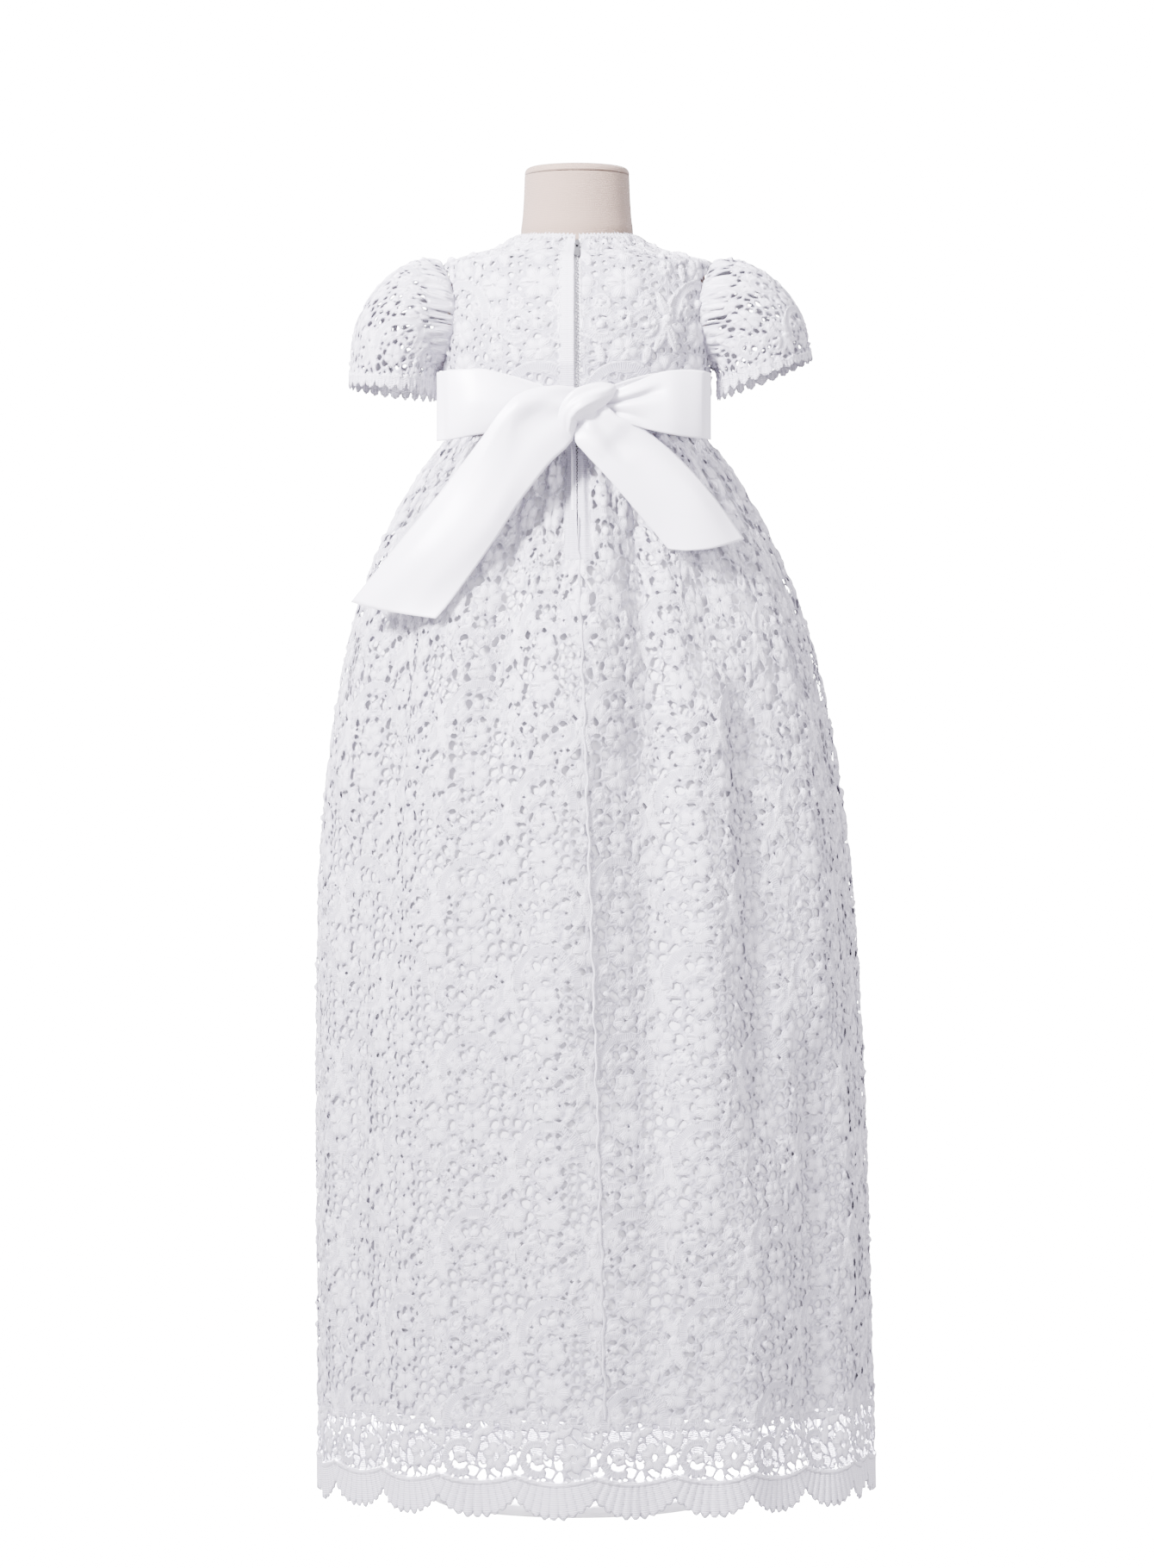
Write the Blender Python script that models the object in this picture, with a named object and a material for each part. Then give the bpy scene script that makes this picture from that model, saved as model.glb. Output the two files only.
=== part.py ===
"""Christening gown of floral guipure lace on a limbless infant dress form.

Metres, +Z up. The form stands on the floor at the origin, and the gown's back, with its zip and
bow, faces -Y. Angles round the body are measured from the centre back towards +X. Every cloth
piece is a wall between an outer and an inner grid of points, worked out from the sizes below.
"""

import math

import bmesh
import bpy
import numpy as np
from mathutils import Matrix, Vector

# Heights above the floor
HEM_Z = 0.004
LINING_HEM_Z = 0.072
ZIP_END_Z = 0.704
WAIST_Z = 0.760
UNDERARM_Z = 0.810
SHOULDER_Z = 0.885
FRONT_NECK_Z = 0.879
BACK_NECK_Z = 0.9025
SIDE_NECK_Z = 0.905

# Cloth walls and the gaps between them
SEAM_GAP = 0.0003
BODICE_WALL = 0.0024
LACE_WALL = 0.0014
LINING_WALL = 0.0010
SATIN_WALL = 0.0011
FORM_INSET = 0.0042
SASH_LIFT = 0.0005

# Bodice, outer surface: height, half width, half depth, and how far forward the section sits
BODY_SECTIONS = {
    "z": [0.760, 0.784, 0.810, 0.830, 0.850, 0.866, 0.876, 0.885, 0.889, 0.895, 0.905],
    "half_width": [0.092, 0.0935, 0.096, 0.097, 0.0975, 0.097, 0.0965, 0.096, 0.082, 0.060, 0.0445],
    "half_depth": [0.068, 0.070, 0.072, 0.071, 0.0675, 0.0625, 0.058, 0.053, 0.0505, 0.047, 0.0415],
    "forward": [0.0, 0.0, 0.0, 0.0, 0.001, 0.002, 0.003, 0.003, 0.004, 0.004, 0.005],
}
LEVEL_ROWS_Z = 0.866
ARMHOLE_HALF_DEPTH = 0.030
ARMHOLE_FORWARD = 0.002

# Skirt: it flares from the waist to the hem as an exponential, and sways to one side
HEM_HALF_WIDTH = 0.202
FLARE_AT_WAIST = 0.108
FLARE_LENGTH = 0.126
DEPTH_RATIO = 0.72
DEPTH_RATIO_AT_WAIST = 0.7235
HEM_SWAY = 0.0125
LACE_REPEATS = 22
SKIRT_COLUMNS = 4 * LACE_REPEATS
SKIRT_ROWS_Z = [0.7597, 0.743, 0.721, 0.690, 0.648, 0.592, 0.522, 0.440, 0.345, 0.245, 0.150,
                0.0723]
FIRST_GAP_ROW = 3
GATHER_AT_SEAM = 0.0022
GATHER_BELOW = 0.0050
GATHER_FADE = 0.13
BROAD_FOLDS = 11
BROAD_FOLD_DEPTH = 0.006
SKIRT_GAP_HALF_WIDTH = 0.29
SKIRT_GAP_HALF_HEIGHT = 0.0052
LINING_COLUMNS = 44
LINING_ROWS_Z = [0.7597, 0.743, 0.721, 0.690, 0.648, 0.592, 0.440, 0.245, LINING_HEM_Z]
LINING_HANG = 0.0045

# The skirt's largest folds: angle in degrees at the top and bottom of the fold, half width in
# degrees, depth, and the heights that it runs between
FOLD_COLUMNS = ("angle_top", "angle_bottom", "half_width", "depth", "z_top", "z_bottom")
BACK_FOLDS = [
    (19.5, 12.5, 5.0, 0.0120, 0.753, 0.170),
    (-4.5, -6.0, 4.2, 0.0080, 0.758, 0.600),
    (6.5, 5.0, 4.2, 0.0050, 0.560, 0.220),
    (37.0, 33.0, 5.0, 0.0080, 0.753, 0.560),
    (41.0, 38.0, 5.0, 0.0080, 0.600, 0.200),
    (57.0, 54.0, 5.0, 0.0090, 0.360, 0.000),
    (-17.5, -20.0, 5.0, 0.0070, 0.740, 0.520),
    (-50.0, -47.0, 5.0, 0.0060, 0.660, 0.330),
    (-62.0, -60.0, 5.0, 0.0060, 0.520, 0.060),
]
FRONT_FOLDS = [
    (164.0, 170.0, 5.0, 0.0110, 0.745, 0.150),
    (187.0, 184.0, 4.5, 0.0060, 0.720, 0.420),
    (143.0, 146.0, 5.0, 0.0080, 0.740, 0.300),
    (122.0, 124.0, 5.0, 0.0090, 0.480, 0.020),
    (206.0, 203.0, 5.0, 0.0100, 0.745, 0.220),
    (229.0, 226.0, 5.0, 0.0070, 0.700, 0.280),
    (250.0, 247.0, 5.0, 0.0080, 0.460, 0.030),
]

# Scalloped border: four columns to a scallop, and two gaps over 4 mm in each repeat
SCALLOP_COLUMNS = 4
SCALLOP_DEPTH = 0.015
BORDER_ROWS_Z = [0.0717, 0.050, 0.031]
BORDER_GAP_HALF_WIDTH = 0.40
BORDER_GAP_HALF_HEIGHT = 0.0062

# Sleeves: outer and inner edge of each ring, seen from behind, and its half depth
SLEEVE_RINGS = [
    {"outer": (0.108, 0.8895), "inner": (0.0995, 0.8095), "half_depth": 0.039, "gather": 0.0016},
    {"outer": (0.124, 0.8850), "inner": (0.1005, 0.8080), "half_depth": 0.044, "gather": 0.0014},
    {"outer": (0.141, 0.8710), "inner": (0.1010, 0.8060), "half_depth": 0.046, "gather": 0.0010},
    {"outer": (0.154, 0.8530), "inner": (0.1010, 0.8030), "half_depth": 0.046, "gather": 0.0008},
    {"outer": (0.161, 0.8330), "inner": (0.1010, 0.7990), "half_depth": 0.045, "gather": 0.0011},
    {"outer": (0.163, 0.8100), "inner": (0.1010, 0.7945), "half_depth": 0.043, "gather": 0.0012},
]
SLEEVE_COLUMNS = 28
SLEEVE_SCALLOP_DEPTH = 0.006
RIGHT_CUFF_FLARE = 0.0055
RIGHT_CUFF_LIFT = 0.020

# Sash and bow: a row for each section of the ribbon
SASH_TOP_Z = 0.8045
SASH_BOTTOM_Z = 0.7615
SASH_END_ANGLE = 0.2
LOOP_COLUMNS = ("x", "y", "z_low", "z_high")
LEFT_LOOP = [
    (-0.0109, -0.0940, 0.7620, 0.7800),
    (-0.0290, -0.0975, 0.7600, 0.7915),
    (-0.0500, -0.0990, 0.7575, 0.7985),
    (-0.0700, -0.0970, 0.7560, 0.8025),
    (-0.0900, -0.0880, 0.7530, 0.8020),
    (-0.0985, -0.0785, 0.7530, 0.8010),
    (-0.0930, -0.0735, 0.7545, 0.8000),
    (-0.0740, -0.0750, 0.7570, 0.7990),
    (-0.0500, -0.0795, 0.7600, 0.7955),
    (-0.0290, -0.0840, 0.7630, 0.7905),
    (-0.0121, -0.0870, 0.7640, 0.7800),
]
RIGHT_LOOP = [
    (0.0204, -0.0945, 0.7680, 0.7850),
    (0.0400, -0.0995, 0.7625, 0.7925),
    (0.0620, -0.0990, 0.7570, 0.8005),
    (0.0800, -0.0920, 0.7545, 0.8020),
    (0.0900, -0.0850, 0.7540, 0.8015),
    (0.0940, -0.0780, 0.7540, 0.8005),
    (0.0900, -0.0730, 0.7555, 0.7995),
    (0.0730, -0.0760, 0.7580, 0.7980),
    (0.0530, -0.0800, 0.7615, 0.7945),
    (0.0370, -0.0845, 0.7650, 0.7900),
    (0.0215, -0.0870, 0.7700, 0.7850),
]
TAIL_COLUMNS = ("upper", "lower")
LEFT_TAIL = [
    ((-0.0085, -0.0990, 0.7745), (0.0010, -0.0998, 0.7590)),
    ((-0.0370, -0.1060, 0.7730), (-0.0080, -0.1070, 0.7460)),
    ((-0.0524, -0.1065, 0.7611), (-0.0253, -0.1075, 0.7341)),
    ((-0.0812, -0.1010, 0.7299), (-0.0480, -0.1060, 0.7010)),
    ((-0.1080, -0.0940, 0.6990), (-0.0665, -0.1050, 0.6745)),
    ((-0.1340, -0.0860, 0.6680), (-0.0835, -0.1040, 0.6500)),
    ((-0.1577, -0.0760, 0.6390), (-0.0987, -0.1040, 0.6281)),
]
RIGHT_TAIL = [
    ((0.0203, -0.0800, 0.7692), (0.0060, -0.0830, 0.7571)),
    ((0.0330, -0.0800, 0.7620), (0.0080, -0.0835, 0.7430)),
    ((0.0596, -0.0815, 0.7485), (0.0205, -0.0880, 0.7299)),
    ((0.0790, -0.0830, 0.7260), (0.0391, -0.0930, 0.7028)),
    ((0.0980, -0.0810, 0.7040), (0.0520, -0.0960, 0.6880)),
    ((0.1174, -0.0780, 0.6811), (0.0638, -0.0980, 0.6757)),
]
RIBBON_STRIPS = 3
RIBBON_CROWN = 0.0030
KNOT_CENTRE = (0.0048, -0.0875, 0.7722)
KNOT_HALF_SIZE = (0.0165, 0.0166, 0.0135)
KNOT_SLANT = 0.30

# Zip: chain in the gap between the back panels, slider and pull tab at the neck
ZIP_OPENING = 0.0034
ZIP_CHAIN_WIDTH = 0.0026
ZIP_CHAIN_WALL = 0.0014
ZIP_CHAIN_TOP_Z = 0.8985
SLIDER_Z = 0.8945
SLIDER_WIDTH = 0.0050
SLIDER_LENGTH = 0.0066
SLIDER_THICKNESS = 0.0012
BRIDGE_WIDTH = 0.0012
BRIDGE_LENGTH = 0.0046
BRIDGE_RISE = 0.0024
BRIDGE_BAR = 0.0006
PULL_BAR = 0.0009
PULL_WIDTH = 0.0036
PULL_EYE_WIDTH = 0.0019
PULL_EYE_LENGTH = 0.0034
PULL_LENGTH = 0.0105

# Dress form below and above the gown, its pole and its base
FORM_COLUMNS = 20
FORM_SECTIONS_BELOW = {
    "z": [0.600, 0.640, 0.690, 0.742, 0.758],
    "half_width": [0.078, 0.085, 0.088, 0.086, 0.0855],
    "half_depth": [0.058, 0.063, 0.064, 0.0605, 0.0605],
}
FORM_NECK = {
    "z": [0.909, 0.920, 0.936, 0.950],
    "half_width": [0.0405, 0.0393, 0.0383, 0.0378],
    "half_depth": [0.0378, 0.0370, 0.0362, 0.0358],
    "forward": [0.005, 0.006, 0.007, 0.008],
}
CAP_THICKNESS = 0.006
POLE_RADIUS = 0.010
BASE_RADIUS = 0.105
BASE_THICKNESS = 0.009
MESH_GAP = 0.0003


def clear_scene():
    """Removes every object, so the script can run again in the same file."""
    for item in list(bpy.data.objects):
        bpy.data.objects.remove(item)


def make_material(name, colour, roughness, metallic=0.0):
    """A Principled BSDF with one colour, roughness and metallic value."""
    material = bpy.data.materials.new(name)
    material.use_nodes = True
    shader = material.node_tree.nodes["Principled BSDF"]
    shader.inputs["Base Color"].default_value = (*colour, 1.0)
    shader.inputs["Roughness"].default_value = roughness
    shader.inputs["Metallic"].default_value = metallic
    return material


def add_object(name, mesh, material, collection):
    """Links a mesh as one named piece."""
    mesh.materials.clear()
    mesh.materials.append(material)
    piece = bpy.data.objects.new(name, mesh)
    collection.objects.link(piece)
    return piece


def mesh_from(name, points, faces):
    """A mesh of triangles that all point outwards, as its faces aren't all flat."""
    mesh = bpy.data.meshes.new(name)
    mesh.from_pydata([tuple(point) for point in points], [], faces)
    shape = bmesh.new()
    shape.from_mesh(mesh)
    bmesh.ops.recalc_face_normals(shape, faces=shape.faces)
    bmesh.ops.triangulate(shape, faces=shape.faces)
    shape.to_mesh(mesh)
    shape.free()
    return mesh


def between(low, high, value):
    """0 below low, 1 above high, and a smooth step from one to the other."""
    share = np.clip((value - low) / (high - low), 0.0, 1.0)
    return share * share * (3.0 - 2.0 * share)


# Cloth as a wall between two grids of points

def grid_layer(grid, gaps):
    """Points and faces of one side of a wall. Each gap opens a grid point into a diamond."""
    rows, columns = grid.shape[:2]
    points = []
    towards = {}

    def add(row, column, to_row, to_column, share):
        here, there = grid[row, column], grid[to_row, to_column]
        points.append(here + (there - here) * share)
        return len(points) - 1

    for row in range(rows):
        for column in range(columns):
            if (row, column) in gaps:
                wide, tall = gaps[(row, column)]
                for step_row, step_column in ((0, 1), (0, -1), (1, 0), (-1, 0)):
                    there = (row + step_row, column + step_column)
                    if step_row:
                        length = abs(grid[row, column][2] - grid[there][2])
                        share = min(tall / max(length, 1e-6), 0.45)
                    else:
                        share = wide
                    towards[(row, column), there] = add(row, column, *there, share)
            else:
                towards[(row, column), None] = add(row, column, row, column, 0.0)

    def corner(at, before, after):
        if at in gaps:
            return [towards[at, before], towards[at, after]]
        return [towards[at, None]]

    faces = []
    for row in range(rows - 1):
        for column in range(columns - 1):
            ring = [(row, column), (row, column + 1), (row + 1, column + 1), (row + 1, column)]
            face = []
            for k in range(4):
                face += corner(ring[k], ring[k - 1], ring[(k + 1) % 4])
            faces.append(face)
    return points, faces


def wall(name, outer, inner, material, collection, gaps=None):
    """A closed wall of cloth: an outer and an inner layer of the same grid, joined at every edge."""
    gaps = gaps or {}
    outer_points, faces = grid_layer(outer, gaps)
    inner_points, _ = grid_layer(inner, gaps)
    count = len(outer_points)
    used = {}
    for face in faces:
        for start, end in zip(face, face[1:] + face[:1]):
            used[(start, end)] = True
    rim = [
        [end, start, start + count, end + count]
        for start, end in used
        if (end, start) not in used
    ]
    back = [[corner + count for corner in reversed(face)] for face in faces]
    mesh = mesh_from(name, outer_points + inner_points, faces + back + rim)
    return add_object(name, mesh, material, collection)


def grid_normals(grid):
    """Unit normals of a grid of points, from the differences along its rows and columns."""
    down = np.gradient(grid, axis=0)
    across = np.gradient(grid, axis=1)
    normal = np.cross(across, down)
    return normal / np.linalg.norm(normal, axis=2, keepdims=True)


def ribbon(name, grid, material, collection):
    """A wall of satin centred on a grid of points."""
    offset = grid_normals(grid) * SATIN_WALL / 2
    return wall(name, grid + offset, grid - offset, material, collection)


# Bodice and form

def body_section(z):
    """Half width, half depth and forward shift of the bodice at a height."""
    heights = BODY_SECTIONS["z"]
    return tuple(
        np.interp(z, heights, BODY_SECTIONS[column])
        for column in ("half_width", "half_depth", "forward")
    )


def body_surface(angle, z):
    """A point of the bodice's outer surface; the angle is in radians from the centre back."""
    half_width, half_depth, forward = body_section(z)
    x = half_width * np.sin(angle)
    y = forward - half_depth * np.cos(angle)
    return np.stack([x, y, z + 0.0 * x], axis=-1)


def body_point(angle, z, outward=0.0):
    """A point of the bodice moved out along the surface's own normal."""
    step_angle, step_z = 0.02, 0.005
    low, high = BODY_SECTIONS["z"][0], BODY_SECTIONS["z"][-1]
    around = body_surface(angle + step_angle, z) - body_surface(angle - step_angle, z)
    upper = body_surface(angle, np.minimum(z + step_z, high))
    upward = upper - body_surface(angle, np.maximum(z - step_z, low))
    normal = np.cross(around, upward)
    normal = normal / np.linalg.norm(normal, axis=-1, keepdims=True)
    return body_surface(angle, z) + normal * outward


def armhole_angle(z):
    """Angle of the armhole's back edge at a height, or a quarter turn above and below it."""
    middle = (UNDERARM_Z + SHOULDER_Z) / 2
    half_height = (SHOULDER_Z - UNDERARM_Z) / 2
    _, half_depth, forward = body_section(z)
    inside = np.clip(1.0 - ((z - middle) / half_height) ** 2, 0.0, 1.0)
    reach = ARMHOLE_HALF_DEPTH * np.sqrt(inside)
    open_here = reach > 0.0
    back = (reach - ARMHOLE_FORWARD + forward) / half_depth
    front = (reach + ARMHOLE_FORWARD - forward) / half_depth
    quarter = math.pi / 2
    return (
        np.where(open_here, np.arccos(np.clip(back, 0.0, 1.0)), quarter),
        np.where(open_here, np.arccos(np.clip(front, 0.0, 1.0)), quarter),
    )


def bodice_rows(across, centre_neck):
    """Heights of a panel's rows: level up to the neckline's zone, then closing up under it."""
    neck = centre_neck + (SIDE_NECK_Z - centre_neck) * np.sin(np.abs(across) * math.pi / 2)
    rows = np.array(BODY_SECTIONS["z"])
    rows[0] += SEAM_GAP
    share = np.clip((rows - LEVEL_ROWS_Z) / (rows[-1] - LEVEL_ROWS_Z), 0.0, 1.0)
    return rows[:, None] - share[:, None] * (rows[-1] - neck[None, :])


def bodice_back(name, side, material, collection):
    """One back panel: from the zip to the side seam, armhole and shoulder. side is -1 or 1."""
    across = np.linspace(0.0, 1.0, 10)
    z = bodice_rows(across, BACK_NECK_Z)
    edge, _ = armhole_angle(z)
    half_width, _, _ = body_section(z)
    zip_side = (ZIP_OPENING / 2) / half_width
    seam = SEAM_GAP / half_width
    angle = side * (zip_side + across[None, :] * (edge - seam - zip_side))
    panel = body_point(angle, z), body_point(angle, z, -BODICE_WALL)
    return wall(name, *panel, material, collection)


def bodice_front(name, material, collection):
    """The front panel, from one side seam to the other, with a scooped neckline."""
    across = np.linspace(-1.0, 1.0, 19)
    z = bodice_rows(across, FRONT_NECK_Z)
    _, edge = armhole_angle(z)
    half_width, _, _ = body_section(z)
    angle = math.pi + across[None, :] * (edge - SEAM_GAP / half_width)
    panel = body_point(angle, z), body_point(angle, z, -BODICE_WALL)
    return wall(name, *panel, material, collection)


def rings_solid(name, rings, material, collection):
    """A closed solid through rings of points, the lowest first, with a flat cap at each end."""
    count = len(rings[0])
    points = [point for ring in rings for point in ring]
    faces = [list(range(count)), list(range(len(points) - count, len(points)))]
    for row in range(len(rings) - 1):
        for k in range(count):
            after = (k + 1) % count
            low, high = row * count, (row + 1) * count
            faces.append([low + k, low + after, high + after, high + k])
    mesh = mesh_from(name, points, faces)
    return add_object(name, mesh, material, collection)


def oval(half_width, half_depth, forward, z):
    """A level ring of the form."""
    angle = np.linspace(0.0, 2 * math.pi, FORM_COLUMNS, endpoint=False)
    x = half_width * np.sin(angle)
    y = forward - half_depth * np.cos(angle)
    return np.stack([x, y, np.full(FORM_COLUMNS, z)], axis=-1)


def dress_form(materials, collection):
    """Torso and neck in one, with a neck cap, a pole and a round base."""
    below = FORM_SECTIONS_BELOW
    rings = [
        oval(below["half_width"][k], below["half_depth"][k], 0.0, below["z"][k])
        for k in range(len(below["z"]))
    ]
    angle = np.linspace(0.0, 2 * math.pi, FORM_COLUMNS, endpoint=False)
    for z in BODY_SECTIONS["z"][1:]:
        rings.append(body_point(angle, np.full(FORM_COLUMNS, z), -FORM_INSET))
    neck = FORM_NECK
    for k in range(len(neck["z"])):
        sizes = (neck[column][k] for column in ("half_width", "half_depth", "forward", "z"))
        rings.append(oval(*sizes))
    rings_solid("form_torso", rings, materials["linen"], collection)
    neck_top = neck["z"][-1]
    top = (neck["half_width"][-1], neck["half_depth"][-1], neck["forward"][-1])
    cap = [
        oval(*top, neck_top + MESH_GAP),
        oval(*top, neck_top + CAP_THICKNESS * 0.6),
        oval(top[0] - 0.003, top[1] - 0.003, top[2], neck_top + CAP_THICKNESS),
    ]
    rings_solid("form_neck_cap", cap, materials["linen"], collection)
    turned("form_pole", POLE_RADIUS, BASE_THICKNESS + MESH_GAP, below["z"][0] - MESH_GAP, 16,
           materials["white_metal"], collection)
    turned("form_base", BASE_RADIUS, 0.0, BASE_THICKNESS, 48, materials["white_metal"], collection)


def turned(name, radius, z_low, z_high, sides, material, collection):
    """An upright cylinder."""
    shape = bmesh.new()
    place = Matrix.Translation((0.0, 0.0, (z_low + z_high) / 2))
    bmesh.ops.create_cone(shape, cap_ends=True, segments=sides, radius1=radius, radius2=radius,
                          depth=z_high - z_low, matrix=place)
    mesh = bpy.data.meshes.new(name)
    shape.to_mesh(mesh)
    shape.free()
    return add_object(name, mesh, material, collection)


# Skirt, lining and border

def skirt_half_width(z):
    """The skirt's half width over its folds, an exponential flare below the waist."""
    return HEM_HALF_WIDTH - FLARE_AT_WAIST * np.exp(-(WAIST_Z - z) / FLARE_LENGTH)


def main_folds(angle, z):
    """How far in the cloth lies at its broad and its named folds; the angle is in radians."""
    settled = between(WAIST_Z, WAIST_Z - 0.25, z)
    depth = BROAD_FOLD_DEPTH * settled * (0.5 - 0.5 * np.cos(BROAD_FOLDS * angle + 0.6))
    for row in BACK_FOLDS + FRONT_FOLDS:
        fold = dict(zip(FOLD_COLUMNS, row))
        share = np.clip((fold["z_top"] - z) / (fold["z_top"] - fold["z_bottom"]), 0.0, 1.0)
        centre = fold["angle_top"] + (fold["angle_bottom"] - fold["angle_top"]) * share
        away = (np.degrees(angle) - centre + 180.0) % 360.0 - 180.0
        valley = np.exp(-((away / fold["half_width"]) ** 2) / 2)
        fade = between(0.0, 0.14, share) * between(1.0, 0.72, share)
        depth = depth + fold["depth"] * valley * fade
    return depth


def gather_depth(z):
    """Depth of the gathers: fixed by the seam, fullest just below it, and gone further down."""
    fade = between(WAIST_Z - GATHER_FADE, WAIST_Z - 0.02, z)
    seam = between(WAIST_Z - 0.03, WAIST_Z, z)
    return (GATHER_BELOW + (GATHER_AT_SEAM - GATHER_BELOW) * seam) * fade


def skirt_half_depth(z):
    """The skirt's half depth over its folds."""
    rounder = (DEPTH_RATIO_AT_WAIST - DEPTH_RATIO) * between(WAIST_Z - 0.08, WAIST_Z, z)
    return skirt_half_width(z) * (DEPTH_RATIO + rounder)


def skirt_point(angle, z, inset):
    """A point of the skirt, a distance in from its outer size."""
    sway = HEM_SWAY * between(WAIST_Z, HEM_Z, z)
    x = sway + (skirt_half_width(z) - inset) * np.sin(angle)
    y = -(skirt_half_depth(z) - inset) * np.cos(angle)
    return np.stack([x, y, z + 0.0 * x], axis=-1)


def lace_inset(angle, z, column):
    """The lace's outer side: its folds, and a ridge or a valley of the gathers in turn."""
    return main_folds(angle, z) + gather_depth(z) * (column % 2)


def seam_angles(first, last, columns, z):
    """Angles of a panel's columns, in radians, held a seam gap in from each side."""
    angle = np.radians(np.linspace(first, last, columns + 1))[None, :] + 0.0 * z
    reach = skirt_half_depth(z[:, 0])
    angle[:, 0] += SEAM_GAP / reach
    angle[:, -1] -= SEAM_GAP / reach
    return angle


def open_for_zip(grid, column, side):
    """Moves a panel's centre back edge aside for the zip, down to the zip's end."""
    z = grid[:, column, 2]
    aside = (ZIP_OPENING - SEAM_GAP) / 2 * between(ZIP_END_Z - 0.03, ZIP_END_Z, z)
    grid[:, column, 0] += side * aside


def skirt_gaps(first_column, columns, rows):
    """The largest gap of each repeat of four columns, moved along from row to row."""
    return {
        (row, column): (SKIRT_GAP_HALF_WIDTH, SKIRT_GAP_HALF_HEIGHT)
        for row in range(FIRST_GAP_ROW, rows - 1)
        for column in range(1, columns)
        if (first_column + column) % 4 == (1, 3, 2)[row % 3]
    }


def skirt_panel(name, first, last, material, collection, zip_side=0):
    """One lace panel of the skirt, between two angles in degrees."""
    columns = round(SKIRT_COLUMNS * (last - first) / 360)
    first_column = round(SKIRT_COLUMNS * first / 360)
    z = np.array(SKIRT_ROWS_Z)[:, None] + np.zeros(columns + 1)[None, :]
    angle = seam_angles(first, last, columns, z)
    column = (first_column + np.arange(columns + 1))[None, :]
    inset = lace_inset(angle, z, column)
    outer = skirt_point(angle, z, inset)
    inner = skirt_point(angle, z, inset + LACE_WALL)
    if zip_side:
        edge = 0 if zip_side > 0 else -1
        open_for_zip(outer, edge, zip_side)
        open_for_zip(inner, edge, zip_side)
    gaps = skirt_gaps(first_column, columns, len(SKIRT_ROWS_Z))
    return wall(name, outer, inner, material, collection, gaps)


def lining_quarter(name, first, last, material, collection):
    """A quarter of the lining. It hangs inside the deepest of the lace's folds nearby."""
    columns = round(LINING_COLUMNS * (last - first) / 360)
    z = np.array(LINING_ROWS_Z)[:, None] + np.zeros(columns + 1)[None, :]
    angle = seam_angles(first, last, columns, z)
    nearby = math.radians(360 / SKIRT_COLUMNS)
    deepest = np.max([main_folds(angle + shift, z) for shift in (-nearby, 0.0, nearby)], axis=0)
    hang = LINING_HANG * between(WAIST_Z, WAIST_Z - 0.2, z)
    inset = deepest + gather_depth(z) + LACE_WALL + SEAM_GAP + hang
    panel = skirt_point(angle, z, inset), skirt_point(angle, z, inset + LINING_WALL)
    return wall(name, *panel, material, collection)


def border_panel(name, first, last, material, collection):
    """A length of the scalloped border below the lining, with its open gaps."""
    columns = round(LACE_REPEATS * SCALLOP_COLUMNS * (last - first) / 360)
    place = np.arange(columns + 1) % SCALLOP_COLUMNS / SCALLOP_COLUMNS
    bottom = HEM_Z + SCALLOP_DEPTH * (1.0 - np.sin(math.pi * place)) ** 1.5
    z = np.vstack([np.full(columns + 1, row) for row in BORDER_ROWS_Z] + [bottom])
    angle = seam_angles(first, last, columns, z)
    inset = main_folds(angle, z)
    panel = skirt_point(angle, z, inset), skirt_point(angle, z, inset + LACE_WALL)
    gaps = {
        (1, column): (BORDER_GAP_HALF_WIDTH, BORDER_GAP_HALF_HEIGHT)
        for column in range(1, columns)
        if column % SCALLOP_COLUMNS in (1, 3)
    }
    return wall(name, *panel, material, collection, gaps)


# Sleeves

def sleeve_ring(row, side, angle):
    """One ring of a sleeve: an oval through its outer and its inner edge."""
    ring = SLEEVE_RINGS[row]
    share = row / (len(SLEEVE_RINGS) - 1)
    outer = np.array([ring["outer"][0], 0.0, ring["outer"][1]])
    inner = np.array([ring["inner"][0], 0.0, ring["inner"][1]])
    if side > 0:
        outer += np.array([RIGHT_CUFF_FLARE, 0.0, RIGHT_CUFF_LIFT]) * share**2
    middle, reach = (outer + inner) / 2, (outer - inner) / 2
    depth = np.array([0.0, -ring["half_depth"], 0.0])
    oval_points = middle + np.cos(angle)[:, None] * reach + np.sin(angle)[:, None] * depth
    return oval_points


def sleeve_seam(angle):
    """The armhole's edge on the bodice, a seam gap inside it, from the shoulder round the back."""
    middle = (UNDERARM_Z + SHOULDER_Z) / 2
    half_height = (SHOULDER_Z - UNDERARM_Z) / 2 - 2 * SEAM_GAP
    z = middle + half_height * np.cos(angle)
    y = ARMHOLE_FORWARD - (ARMHOLE_HALF_DEPTH - 2 * SEAM_GAP) * np.sin(angle)
    half_width, half_depth, forward = body_section(z)
    x = half_width * np.sqrt(np.clip(1.0 - ((y - forward) / half_depth) ** 2, 0.0, 1.0))
    return np.stack([x + SEAM_GAP, y, z], axis=-1)


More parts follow.
